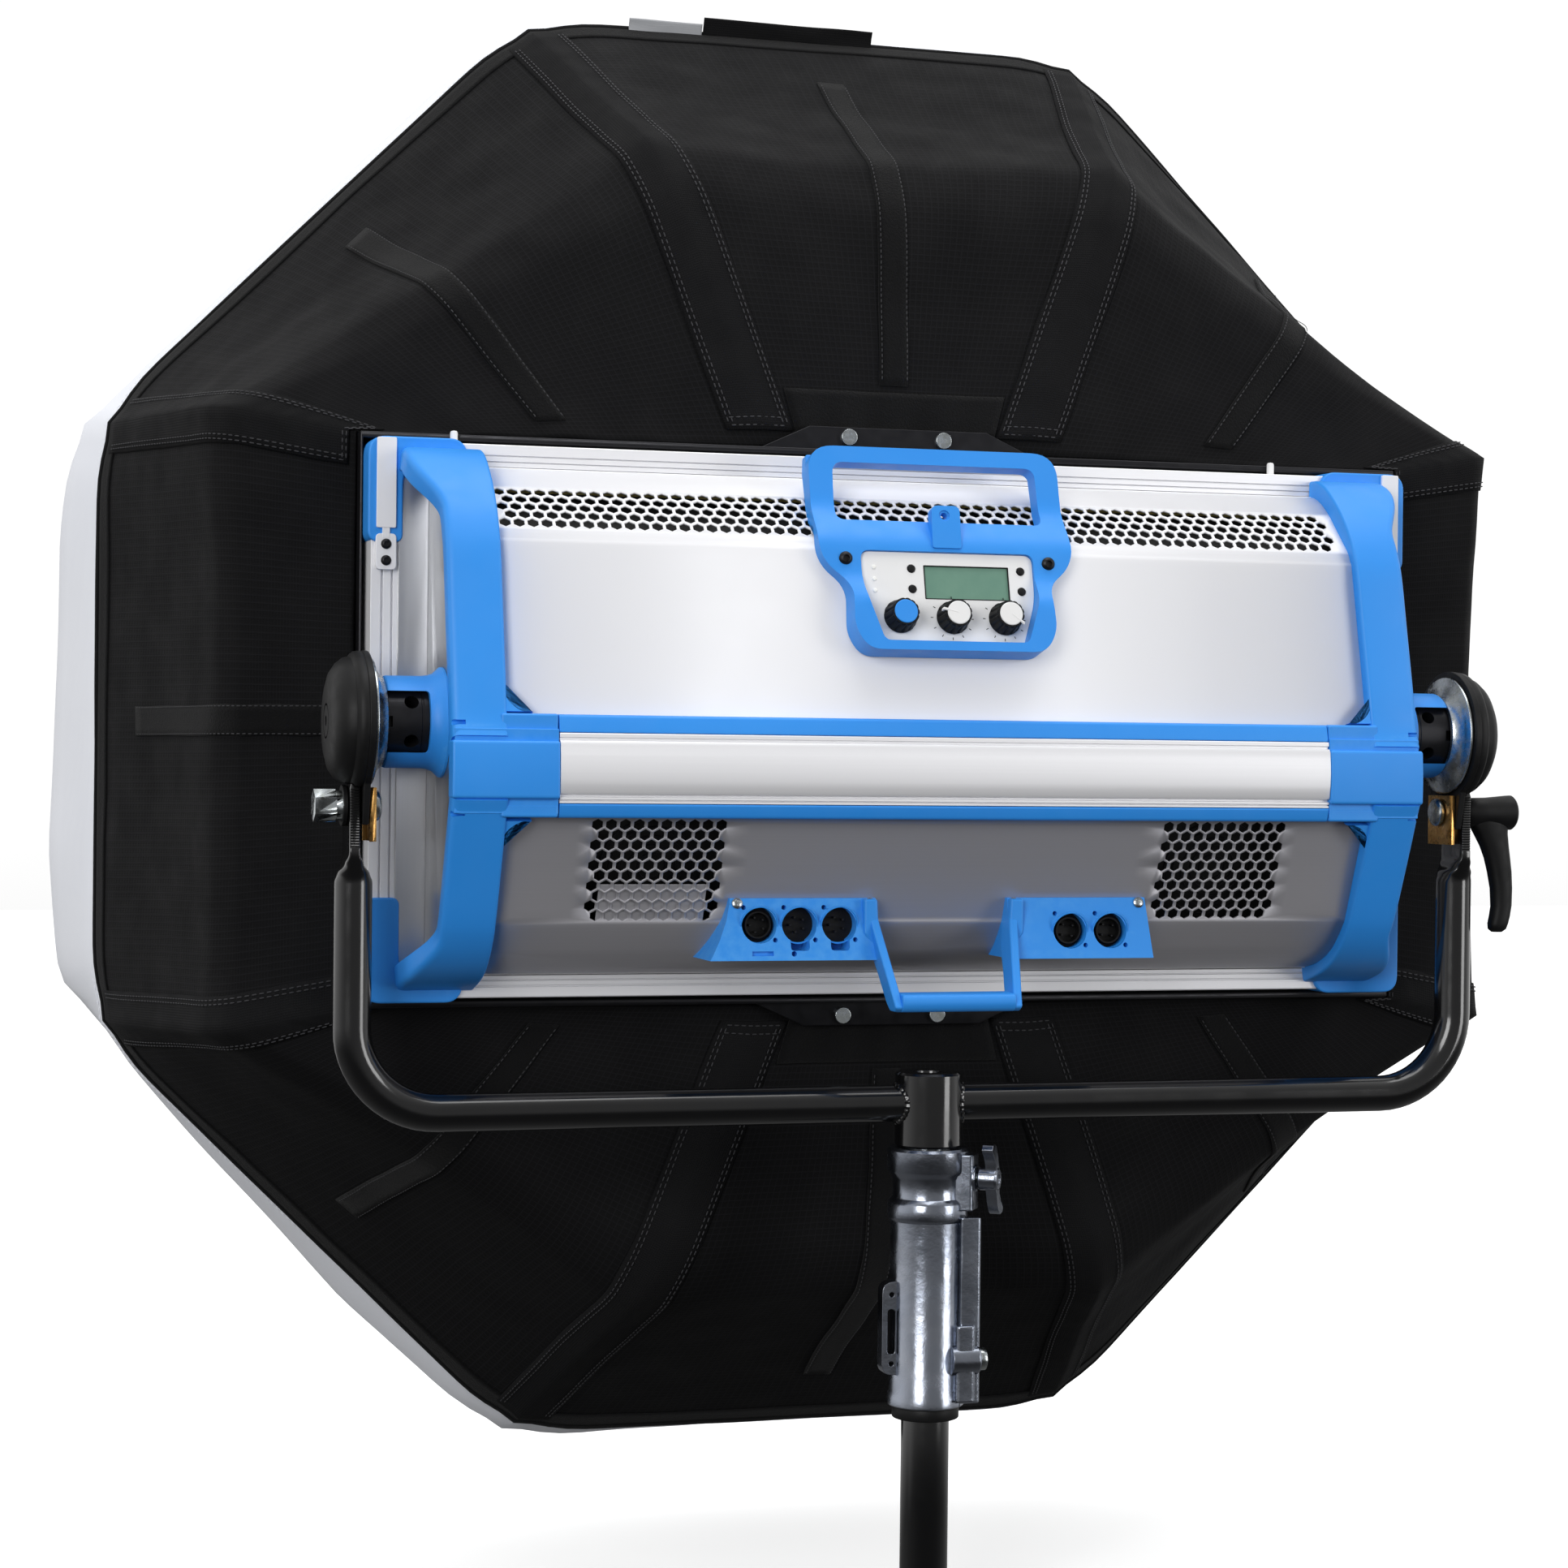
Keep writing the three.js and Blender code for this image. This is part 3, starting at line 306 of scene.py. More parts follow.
class Finish:
    """A Principled material with helpers for layered noise, weave and wear."""

    def __init__(self, name, color, rough, metal=0.0, **sockets):
        self.mat = bpy.data.materials.new(name)
        self.mat.use_nodes = True
        self.tree = self.mat.node_tree
        self.bsdf = self.tree.nodes["Principled BSDF"]
        self.color, self.rough = color, rough
        self.bsdf.inputs["Base Color"].default_value = color
        self.bsdf.inputs["Roughness"].default_value = rough
        self.bsdf.inputs["Metallic"].default_value = metal
        for key, value in sockets.items():
            self.bsdf.inputs[key.replace("_", " ")].default_value = value
        self.height = None
        self.bumps = []
        self.mat.diffuse_color = color

    def node(self, kind, **values):
        n = self.tree.nodes.new(kind)
        for key, value in values.items():
            if key in n.inputs:
                n.inputs[key].default_value = value
            else:
                setattr(n, key, value)
        return n

    def link(self, a, b):
        self.tree.links.new(a, b)

    def coords(self, source="Object", scale=(1, 1, 1), rotation=(0, 0, 0)):
        tc = self.node("ShaderNodeTexCoord")
        mp = self.node("ShaderNodeMapping")
        mp.inputs["Scale"].default_value = scale
        mp.inputs["Rotation"].default_value = rotation
        self.link(tc.outputs[source], mp.inputs["Vector"])
        return mp.outputs["Vector"]

    def noise(self, scale, detail=4, rough=0.55, stretch=(1, 1, 1), source="Object"):
        n = self.node("ShaderNodeTexNoise", Scale=scale, Detail=detail, Roughness=rough)
        self.link(self.coords(source, stretch), n.inputs["Vector"])
        return n.outputs["Fac"]

    def ramp(self, fac, low, high, a=0.0, b=1.0):
        m = self.node("ShaderNodeMapRange")
        m.inputs["From Min"].default_value = low
        m.inputs["From Max"].default_value = high
        m.inputs["To Min"].default_value = a
        m.inputs["To Max"].default_value = b
        self.link(fac, m.inputs["Value"])
        return m.outputs["Result"]

    def tint(self, fac, other):
        """Mixes the colour so far towards another where fac is 1."""
        mix = self.node("ShaderNodeMix", data_type="RGBA")
        socket = self.bsdf.inputs["Base Color"]
        if socket.is_linked:
            self.link(socket.links[0].from_socket, mix.inputs["A"])
        else:
            mix.inputs["A"].default_value = self.color
        mix.inputs["B"].default_value = other
        self.link(fac, mix.inputs["Factor"])
        self.link(mix.outputs["Result"], socket)
        return self

    def rough_by(self, fac, low, high):
        self.link(self.ramp(fac, 0.3, 0.7, low, high), self.bsdf.inputs["Roughness"])
        return self

    def bump(self, fac, strength, distance=0.001):
        """Adds a bump layer over the ones before it; distance is in metres."""
        b = self.node("ShaderNodeBump", Strength=strength, Distance=distance)
        self.link(fac, b.inputs["Height"])
        socket = self.bsdf.inputs["Normal"]
        if socket.is_linked:
            self.link(socket.links[0].from_socket, b.inputs["Normal"])
        self.link(b.outputs["Normal"], socket)
        return self

    def weave(self, pitch, strength, source="UV"):
        """Crossing threads, pitch metres apart."""
        bands = []
        for direction in ("X", "Y"):
            w = self.node("ShaderNodeTexWave", Scale=0.314 / pitch, Distortion=0.0)
            w.bands_direction = direction
            self.link(self.coords(source), w.inputs["Vector"])
            bands.append(w.outputs["Fac"])
        top = self.node("ShaderNodeMath", operation="MAXIMUM")
        self.link(bands[0], top.inputs[0])
        self.link(bands[1], top.inputs[1])
        self.bump(top.outputs[0], strength, pitch * 0.3)
        return top.outputs[0]

    def edge_wear(self, color, amount=0.5):
        """Lightens convex edges a little, as handled parts do."""
        g = self.node("ShaderNodeNewGeometry")
        spread = self.ramp(g.outputs["Pointiness"], 0.53, 0.62, 0.0, amount)
        speck = self.ramp(self.noise(180), 0.35, 0.65)
        m = self.node("ShaderNodeMath", operation="MULTIPLY")
        self.link(spread, m.inputs[0])
        self.link(speck, m.inputs[1])
        self.tint(m.outputs[0], color)
        return self


def make_finishes():
    f = {}

    def blue_plastic():
        m = Finish("blue_plastic", srgb(46, 146, 236), 0.46, Specular_IOR_Level=0.45)
        m.tint(m.ramp(m.noise(9), 0.35, 0.7, 0, 0.35), srgb(36, 134, 224))
        m.edge_wear(srgb(90, 170, 240), 0.35)
        m.rough_by(m.noise(60), 0.40, 0.54)
        return m.bump(m.noise(2600, 2), 0.10, 0.0003)

    def white_paint():
        m = Finish("white_paint", srgb(240, 240, 243), 0.42, Coat_Weight=0.12, Coat_Roughness=0.25)
        m.tint(m.ramp(m.noise(4), 0.4, 0.7, 0, 0.25), srgb(230, 231, 236))
        m.rough_by(m.noise(25), 0.32, 0.42)
        return m.bump(m.noise(1800, 2), 0.04, 0.0002)

    def brushed(name, color, rough, axis, metal=1.0):
        m = Finish(name, color, rough, metal, Anisotropic=0.5)
        stretch = {"x": (3, 900, 900), "z": (900, 900, 3)}[axis]
        streak = m.noise(1.0, 4, 0.5, stretch)
        m.tint(m.ramp(streak, 0.35, 0.65, 0, 0.10), tuple(c * 0.85 for c in color[:3]) + (1,))
        m.rough_by(streak, rough - 0.02, rough + 0.04)
        return m.bump(streak, 0.03, 0.00005)

    def cast_alloy():
        m = Finish("cast_alloy", srgb(146, 152, 164), 0.17, 1.0)
        m.tint(m.ramp(m.noise(35), 0.4, 0.75, 0, 0.5), srgb(165, 168, 175))
        m.rough_by(m.noise(50), 0.14, 0.32)
        m.bump(m.noise(120, 3), 0.35, 0.0006)
        return m.bump(m.noise(900, 3), 0.2, 0.0002)

    def steel():
        m = Finish("steel", srgb(190, 196, 200), 0.22, 1.0)
        m.tint(m.ramp(m.noise(200), 0.4, 0.7, 0, 0.5), srgb(168, 172, 160))
        m.rough_by(m.noise(300), 0.16, 0.34)
        return m.bump(m.noise(1500, 2), 0.1, 0.0001)

    def brass():
        m = Finish("brass", srgb(226, 176, 104), 0.25, 1.0)
        m.tint(m.ramp(m.noise(160), 0.4, 0.7, 0, 0.6), srgb(188, 128, 62))
        m.rough_by(m.noise(260), 0.2, 0.42)
        return m.bump(m.noise(900, 2), 0.15, 0.0001)

    def black_paint():
        m = Finish("black_paint", srgb(13, 13, 14), 0.14, 0.0, Coat_Weight=0.6, Coat_Roughness=0.08)
        m.rough_by(m.noise(40), 0.12, 0.24)
        m.bump(m.noise(70, 3), 0.05, 0.0006)
        return m.bump(m.noise(1200, 2), 0.05, 0.0001)

    def black_plastic():
        m = Finish("black_plastic", srgb(12, 12, 13), 0.5, Specular_IOR_Level=0.25)
        m.edge_wear(srgb(52, 52, 54), 0.15)
        m.rough_by(m.noise(90), 0.44, 0.6)
        return m.bump(m.noise(2200, 2), 0.14, 0.0003)

    def black_metal():
        m = Finish("black_metal", srgb(38, 38, 41), 0.36, 0.7)
        m.rough_by(m.noise(120), 0.3, 0.45)
        return m.bump(m.noise(900, 2), 0.06, 0.0002)

    # Painted shade: a near-black finish for the covers' back faces and for the sheet behind the vents, where
    # the inside of the head lies in shade.
    def painted_shade_inside():
        m = Finish("painted_shade_inside", srgb(12, 12, 13), 0.7)
        m.rough_by(m.noise(80), 0.6, 0.8)
        return m.bump(m.noise(500, 2), 0.1, 0.0003)

    def white_plastic():
        m = Finish("white_plastic", srgb(236, 236, 236), 0.4)
        m.tint(m.ramp(m.noise(30), 0.4, 0.7, 0, 0.3), srgb(222, 222, 222))
        m.rough_by(m.noise(70), 0.36, 0.5)
        return m.bump(m.noise(2400, 2), 0.05, 0.0002)

    def display():
        m = Finish("display", srgb(112, 150, 132), 0.16, 0.0, Coat_Weight=0.5, Coat_Roughness=0.05)
        m.tint(m.ramp(m.noise(60), 0.35, 0.7, 0, 0.6), srgb(98, 138, 122))
        grid = m.weave(0.0006, 0.02, "Object")
        return m.rough_by(grid, 0.14, 0.2)

    def frosted():
        m = Finish("frosted", srgb(240, 240, 236), 0.7)
        m.rough_by(m.noise(40), 0.6, 0.8)
        return m.bump(m.noise(1500, 2), 0.1, 0.0002)

    def led_phosphor():
        m = Finish("led_phosphor", srgb(226, 206, 120), 0.5)
        m.tint(m.ramp(m.noise(300), 0.5, 0.7, 0, 0.5), srgb(206, 180, 88))
        m.rough_by(m.noise(120), 0.42, 0.58)
        return m.bump(m.noise(700, 2), 0.2, 0.0003)

    def black_fabric():
        m = Finish("black_fabric", srgb(17, 17, 18), 0.85, Specular_IOR_Level=0.12)
        m.tint(m.ramp(m.noise(14), 0.35, 0.7, 0, 0.5), srgb(13, 13, 14))
        rip = m.weave(0.0046, 0.10)
        m.tint(m.ramp(rip, 0.90, 1.0, 0.0, 0.35), srgb(36, 36, 39))
        m.weave(0.0011, 0.35)
        m.rough_by(m.noise(30), 0.74, 0.88)
        return m.bump(m.noise(260, 3), 0.10, 0.0006)

    def webbing():
        m = Finish("black_webbing", srgb(22, 22, 23), 0.88, Specular_IOR_Level=0.12)
        m.weave(0.0016, 0.5)
        m.tint(m.ramp(m.noise(22), 0.35, 0.7, 0, 0.5), srgb(18, 18, 20))
        m.rough_by(m.noise(40), 0.78, 0.9)
        return m

    def velcro():
        m = Finish("black_velcro", srgb(9, 9, 10), 0.95, Sheen_Weight=0.05, Sheen_Roughness=0.6,
                   Specular_IOR_Level=0.15)
        fuzz = m.noise(700, 4, 0.7)
        m.tint(m.ramp(fuzz, 0.45, 0.75, 0, 0.6), srgb(20, 20, 22))
        m.rough_by(fuzz, 0.9, 1.0)
        return m.bump(fuzz, 0.8, 0.0012)

    def white_fabric():
        m = Finish("white_fabric", srgb(238, 240, 246), 0.85, Sheen_Weight=0.1, Sheen_Roughness=0.5)
        m.tint(m.ramp(m.noise(7), 0.35, 0.7, 0, 0.4), srgb(230, 233, 242))
        m.weave(0.0009, 0.25, "Object")
        m.rough_by(m.noise(40), 0.78, 0.9)
        return m.bump(m.noise(18, 3), 0.15, 0.003)

    def silver_lining():
        m = Finish("silver_lining", srgb(205, 207, 210), 0.38, 0.75)
        m.rough_by(m.noise(60), 0.3, 0.5)
        return m.bump(m.noise(90, 3), 0.3, 0.001)

    def thread():
        m = Finish("thread", srgb(52, 52, 55), 0.7)
        m.rough_by(m.noise(900), 0.6, 0.8)
        return m.bump(m.noise(3000, 2), 0.3, 0.0001)

    def grey_label():
        m = Finish("grey_label", srgb(176, 178, 182), 0.6)
        m.tint(m.ramp(m.noise(60), 0.4, 0.7, 0, 0.4), srgb(160, 162, 166))
        m.weave(0.0006, 0.3, "Object")
        return m.rough_by(m.noise(90), 0.55, 0.7)

    f["blue"] = blue_plastic()
    f["white_paint"] = white_paint()
    f["grey_steel"] = brushed("grey_steel", srgb(178, 177, 182), 0.5, "x", 0.6)
    f["aluminium"] = brushed("aluminium", srgb(240, 240, 243), 0.42, "x", 0.4)
    f["aluminium_up"] = brushed("aluminium_up", srgb(240, 240, 243), 0.42, "z", 0.4)
    f["end_plate"] = brushed("end_plate", srgb(186, 187, 190), 0.30, "z")
    for make in (cast_alloy, steel, brass, black_paint, black_plastic, black_metal, painted_shade_inside,
                 white_plastic,
                 display, frosted, led_phosphor, black_fabric, webbing, velcro, white_fabric, silver_lining,
                 thread,
                 grey_label):
        f[make.__name__] = make()
    return {key: value.mat for key, value in f.items()}


LOOK = make_finishes()


# ---------------------------------------------------------------- stage, light and camera
def make_stage():
    """A pale floor that doesn't tint the object, in a studio bright ahead and dim behind and below."""
    floor = Build().box(-9000, 9000, -9000, 9000, -TILT - 20, -TILT - 0.05).object("floor")
    m = Finish("floor_paper", srgb(236, 236, 236), 0.8, Emission_Color=(1, 1, 1, 1), Emission_Strength=0.55)
    m.rough_by(m.noise(3), 0.75, 0.85)
    floor.data.materials.append(m.mat)
    floor.visible_diffuse = False
    floor.visible_glossy = False

    world = bpy.data.worlds.new("studio")
    bpy.context.scene.world = world
    world.use_nodes = True
    nodes, links = world.node_tree.nodes, world.node_tree.links
    coord = nodes.new("ShaderNodeTexCoord")
    split = nodes.new("ShaderNodeSeparateXYZ")
    links.new(coord.outputs["Generated"], split.inputs[0])
    parts = []
    for axis, start, end, low, high in (("Y", -0.9, 0.35, 0.30, 1.05), ("Z", -0.35, 0.02, 0.14, 1.0)):
        ramp = nodes.new("ShaderNodeMapRange")
        ramp.interpolation_type = "SMOOTHSTEP"
        ramp.inputs["From Min"].default_value = start
        ramp.inputs["From Max"].default_value = end
        ramp.inputs["To Min"].default_value = low
        ramp.inputs["To Max"].default_value = high
        links.new(split.outputs[axis], ramp.inputs["Value"])
        parts.append(ramp.outputs["Result"])
    both = nodes.new("ShaderNodeMath")
    both.operation = "MULTIPLY"
    links.new(parts[0], both.inputs[0])
    links.new(parts[1], both.inputs[1])
    back = nodes["Background"]
    back.inputs["Color"].default_value = (1, 1, 1, 1)
    links.new(both.outputs[0], back.inputs["Strength"])


def area_light(name, place, aim, size, power):
    data = bpy.data.lights.new(name, "AREA")
    data.shape, data.size, data.size_y, data.energy = "RECTANGLE", size[0], size[1], power
    lamp = bpy.data.objects.new(name, data)
    lamp.location = place
    lamp.rotation_euler = (Vector(aim) - Vector(place)).to_track_quat("-Z", "Y").to_euler()
    bpy.context.scene.collection.objects.link(lamp)


def make_lights():
    centre = (0, 0, TILT / 1000)
    area_light("key", (-2.4, -3.0, 1.5), centre, (1.6, 2.2), 70)
    area_light("fill", (2.6, -2.4, 0.9), centre, (1.2, 2.2), 40)
    area_light("top", (0.2, -0.4, 3.2), centre, (2.2, 1.6), 30)


def make_camera():
    place = Vector((-0.6554, -1.9036, TILT / 1000 - 0.0168))
    yaw, pitch, roll = math.radians(16.365), math.radians(-0.528), math.radians(0.632)
    ahead = Vector((math.sin(yaw) * math.cos(pitch), math.cos(yaw) * math.cos(pitch), math.sin(pitch)))
    right = Vector((math.cos(yaw), -math.sin(yaw), 0))
    up = right.cross(ahead)
    right, up = (right * math.cos(roll) + up * math.sin(roll), up * math.cos(roll) - right * math.sin(roll))
    data = bpy.data.cameras.new("camera")
    data.lens, data.sensor_width = 73.97, 36
    cam = bpy.data.objects.new("camera", data)
    cam.matrix_world = Matrix((right, up, -ahead)).transposed().to_4x4()
    cam.location = place
    bpy.context.scene.collection.objects.link(cam)
    bpy.context.scene.camera = cam


make_camera()
make_stage()
make_lights()
bpy.context.scene.view_settings.view_transform = "Standard"

# ---------------------------------------------------------------- softbox
BOWL = [(0, 80), (0.25, 82.5), (0.5, 88), (0.62, 106), (0.7, 146), (0.78, 190), (0.88, 237), (1, 295)]
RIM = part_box("softbox_skin")[1].x * 1000
RIM_HALF_SIDE = RIM * math.tan(math.pi / 8)
BACK_X, BACK_TOP, BACK_LOW, RIB_X = 350.4, 179.8, -176.8, 87.0
RIB_STARTS = [(RIB_X, BACK_TOP), (BACK_X, BACK_TOP), (BACK_X, BACK_LOW), (RIB_X, BACK_LOW),
              (-RIB_X, BACK_LOW), (-BACK_X, BACK_LOW), (-BACK_X, BACK_TOP), (-RIB_X, BACK_TOP)]
RIM_CORNERS = [(RIM_HALF_SIDE, RIM), (RIM, RIM_HALF_SIDE), (RIM, -RIM_HALF_SIDE), (RIM_HALF_SIDE, -RIM),
               (-RIM_HALF_SIDE, -RIM), (-RIM, -RIM_HALF_SIDE), (-RIM, RIM_HALF_SIDE), (-RIM_HALF_SIDE, RIM)]


def make_bowl_curve():
    """A smooth, monotone height along the way out, from the back opening to the rim."""
    t = np.array([p[0] for p in BOWL])
    y = np.array([p[1] for p in BOWL], float)
    h, d = np.diff(t), np.diff(y) / np.diff(t)
    m = np.zeros(len(t))
    m[0], m[-1] = d[0], d[-1]
    for i in range(1, len(t) - 1):
        w1, w2 = 2 * h[i] + h[i - 1], h[i] + 2 * h[i - 1]
        m[i] = (w1 + w2) / (w1 / d[i - 1] + w2 / d[i])

    def at(s):
        s = min(max(s, 0.0), 1.0)
        i = min(int(np.searchsorted(t, s, "right")) - 1, len(t) - 2)
        u = (s - t[i]) / h[i]
        return ((2 * u ** 3 - 3 * u ** 2 + 1) * y[i] + (u ** 3 - 2 * u ** 2 + u) * h[i] * m[i]
                + (3 * u ** 2 - 2 * u ** 3) * y[i + 1] + (u ** 3 - u ** 2) * h[i] * m[i + 1])
    return at


bowl_height = make_bowl_curve()


def lerp2(a, b, s):
    return (a[0] + (b[0] - a[0]) * s, a[1] + (b[1] - a[1]) * s)


CORNER_ROUND = 0.014              # share by which the rim's corners are drawn in


def cloth_point(place, t, lift=0.0):
    """A point of the cloth: place counts ribs round the octagon (0-8), t runs from back (0) to rim (1)."""
    corner = int(math.floor(place)) % 8
    share = place - math.floor(place)
    start = lerp2(RIB_STARTS[corner], RIB_STARTS[(corner + 1) % 8], share)
    end = lerp2(RIM_CORNERS[corner], RIM_CORNERS[(corner + 1) % 8], share)
    dx, dz = end[0] - start[0], end[1] - start[1]
    reach = math.hypot(dx, dz)
    step = 0.012
    lo, hi = max(t - step, 0), min(t + step, 1)
    slope = (bowl_height(hi) - bowl_height(lo)) / ((hi - lo) * reach)
    run = math.hypot(1, slope)
    normal = Vector((dx / reach * slope / run, -1 / run, dz / reach * slope / run))
    p = Vector((start[0] + dx * t, bowl_height(t), start[1] + dz * t))
    across = math.sin(math.pi * share)
    hang = 7.0 * across ** 0.8 * math.sin(math.pi * min(t * 1.08, 1.0)) ** 0.7
    q = p / 1000
    folds = (noise.noise(Vector((q.x * 9, q.y * 9, q.z * 9))) * 3.4
             + noise.noise(Vector((q.x * 23 + 7, q.y * 23, q.z * 23))) * 1.5)
    pull = 1.6 * math.sin(place * 38 + 3 * noise.noise(q * 6)) * math.exp(-t * 7) * across
    edge = min(1.0, (1 - t) / 0.06, t / 0.02 + 0.15)
    turn = math.exp(-(min(share, 1 - share) / 0.07) ** 2) * t ** 6 * CORNER_ROUND
    p.x *= 1 - turn
    p.z *= 1 - turn
    amount = -hang + (folds * (0.35 + 0.65 * across) + pull) * edge
    return p + normal * (amount + lift), normal


def sheet_from(rows, name, thickness, offset=-1.0, loop=False):
    """A cloth sheet through a grid of points (rows of equal length), with UVs in metres."""
    n, m = len(rows), len(rows[0])
    verts = [tuple(p) for row in rows for p in row]
    me = bpy.data.meshes.new(name)
    faces = []
    spans = m if loop else m - 1
    for i in range(n - 1):
        for j in range(spans):
            k = (j + 1) % m
            faces.append((i * m + j, i * m + k, (i + 1) * m + k, (i + 1) * m + j))
    me.from_pydata([tuple(v) for v in to_world(verts)], [], faces)
    grid = np.array([tuple(p) for row in rows for p in row]).reshape(n, m, 3) / 1000
    nxt = np.concatenate([grid[:, 1:], grid[:, :1]], 1)
    mid = n // 2
    u = np.concatenate([[0], np.cumsum(np.linalg.norm(nxt - grid, axis=2)[mid])])
    v = np.concatenate([[0], np.cumsum(np.linalg.norm(np.diff(grid, axis=0), axis=2)[:, m // 2])])
    uv = me.uv_layers.new(name="UVMap")
    for poly, (i, j) in zip(me.polygons, ((i, j) for i in range(n - 1) for j in range(spans))):
        corners = ((u[j], v[i]), (u[j + 1], v[i]), (u[j + 1], v[i + 1]), (u[j], v[i + 1]))
        for loop_index, corner in zip(poly.loop_indices, corners):
            uv.data[loop_index].uv = corner
    ob = bpy.data.objects.new(name, me)
    bpy.context.scene.collection.objects.link(ob)
    solid = ob.modifiers.new("thickness", "SOLIDIFY")
    solid.thickness, solid.offset = thickness / 1000, offset
    return ob


def cloth_piece(ob, name, material, replaces=()):
    for p in ob.data.polygons:
        p.use_smooth = True
    ob.data.materials.append(material)
    ob.name = name
    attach(ob, "head")
    if replaces:
        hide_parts(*replaces)
    return ob


def make_skin():
    across, out = 26, 64
    places = [k / across for k in range(8 * across)]
    rows = [[cloth_point(p, t)[0] for p in places] for t in np.linspace(0, 1, out)]
    ob = sheet_from(rows, "softbox_cloth", 0.9, loop=True)
    ob.data.materials.append(LOOK["black_fabric"])
    ob.data.materials.append(LOOK["silver_lining"])
    ob.modifiers["thickness"].material_offset = 1
    for p in ob.data.polygons:
        p.use_smooth = True
    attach(ob, "head")
    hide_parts("softbox_skin")
    return ob, ring_area(rows)


def ring_area(rows):
    """The cloth's own area in square metres."""
    g = np.array([[tuple(p) for p in row] for row in rows]) / 1000
    nxt = np.concatenate([g[:, 1:], g[:, :1]], 1)
    a, b, c, d = g[:-1], nxt[:-1], nxt[1:], g[1:]

    def triangles(p, q, r):
        return 0.5 * np.linalg.norm(np.cross(q - p, r - p), axis=2).sum()

    return float(triangles(a, b, c) + triangles(a, c, d))


def rib_gap(corner, t):
    """How far apart rib corner and the next one are at t."""
    a = lerp2(RIB_STARTS[corner % 8], RIM_CORNERS[corner % 8], t)
    b = lerp2(RIB_STARTS[(corner + 1) % 8], RIM_CORNERS[(corner + 1) % 8], t)
    return math.hypot(b[0] - a[0], b[1] - a[1])


def beside(place, side, t, lift):
    """The cloth's surface, side millimetres round from a place, raised by lift."""
    corner = math.floor(place) if side >= 0 or place % 1 else math.floor(place) - 1
    return cloth_point(place + side / rib_gap(corner, t), t, lift)[0]


def cloth_strip(place, half, t0, t1, lift, rows, columns, swell=0.0):
    """A sewn strip that runs outwards on the cloth, centred on a place."""
    grid = []
    for t in np.linspace(t0, t1, rows):
        row = []
        for k in range(columns + 1):
            s = 2 * k / columns - 1
            wobble = 0.9 * noise.noise(Vector((t * 9, place * 3.1, 1.7)))
            puff = swell * (1 - s * s) * (0.7 + 0.6 * noise.noise(Vector((t * 14, place * 5, s))))
            row.append(beside(place, s * half + wobble, t, lift + puff))
        grid.append(row)
    return grid


def stitch_line(build, points, length=3.0, pitch=4.6, radius=0.42):
    """Small raised stitches along a line of points."""
    pts = [Vector(p) for p in points]
    gone = 0.0
    due = pitch / 2
    for a, b in zip(pts, pts[1:]):
        step = (b - a).length
        while gone + step >= due:
            at = a.lerp(b, (due - gone) / step)
            along = (b - a).normalized() * length / 2
            side = along.normalized().orthogonal().normalized()
            up = along.normalized().cross(side)
            rings = []
            for shift, scale in ((-1.0, 0.45), (-0.6, 1.0), (0.6, 1.0), (1.0, 0.45)):
                centre = at + along * shift
                rings.append([tuple(centre + (side * math.cos(TAU * k / 5) + up * math.sin(TAU * k / 5))
                                    * radius * scale) for k in range(5)])
            build.loft(rings)
            due += pitch
        gone += step


def make_rib_flaps():
    """The wide sewn channels over the eight rods, from the back opening to the rim."""
    thread = Build()
    for corner in range(8):
        half = 22.0
        grid = cloth_strip(corner, half, 0.035, 0.985, 1.3, 56, 8, 1.6)
        ob = sheet_from(grid, f"rib_flap_{corner + 1}", 1.0)
        cloth_piece(ob, f"rib_flap_{corner + 1}", LOOK["webbing"])
        for side in (-1, 1):
            for inset in (2.4, 5.2):
                line = [beside(corner, side * (half - inset), t, 2.3) for t in np.linspace(0.05, 0.975, 90)]
                stitch_line(thread, line)
        for t in (0.045, 0.062):
            stitch_line(thread, [beside(corner, s, t, 2.4) for s in np.linspace(-half + 3, half - 3, 12)])
    piece(thread, "rib_flap_stitches", LOOK["thread"], "head")


def make_velcro():
    """Hook strips down the middle of each panel, where a grid or a second cloth fastens."""
    thread = Build()
    for corner in range(8):
        start = 0.14 if corner in (3, 7) else 0.07
        grid = cloth_strip(corner + 0.5, 9.6, start, 0.87, 1.4, 40, 4)
        ob = sheet_from(grid, f"velcro_strip_{corner + 1}", 1.5)
        cloth_piece(ob, f"velcro_strip_{corner + 1}", LOOK["velcro"])
        for side in (-1, 1):
            line = [beside(corner + 0.5, side * 8.6, t, 2.7) for t in np.linspace(start + 0.01, 0.86, 70)]
            stitch_line(thread, line, 2.2, 3.6, 0.35)
    for corner, name in ((7, "top"), (3, "bottom")):
        rows = []
        for t in np.linspace(0.035, 0.125, 8):
            rows.append([cloth_point(corner + s, t, 1.6)[0] for s in np.linspace(0.13, 0.87, 30)])
        ob = sheet_from(rows, f"velcro_{name}_band", 1.6)
        cloth_piece(ob, f"velcro_{name}_band", LOOK["velcro"])
    piece(thread, "velcro_stitches", LOOK["thread"], "head")


# How far the loose white cloth stands out past the rim, by place round the octagon.
LOOSE = [(0, 1), (2.5, 1), (3, 3), (3.5, 6), (4, 10), (4.35, 15), (4.7, 8), (4.93, 1), (5, 1), (5.08, 17),
         (5.3, 25),
         (5.8, 19), (6, 11), (6.1, 5), (6.9, 5), (7, 9), (7.1, 3), (8, 1)]


def rim_at(place, flat, y, round_off=0.0):
    """A point on an octagon of a given half width, in front of the tilt axis by y."""
    corner = int(math.floor(place)) % 8
    share = place - math.floor(place)
    x, z = lerp2(RIM_CORNERS[corner], RIM_CORNERS[(corner + 1) % 8], share)
    scale = flat / RIM
    away = min(share, 1 - share)
    cut = 1 - round_off * math.exp(-(away / 0.07) ** 2)
    return (x * scale * cut, y, z * scale * cut)


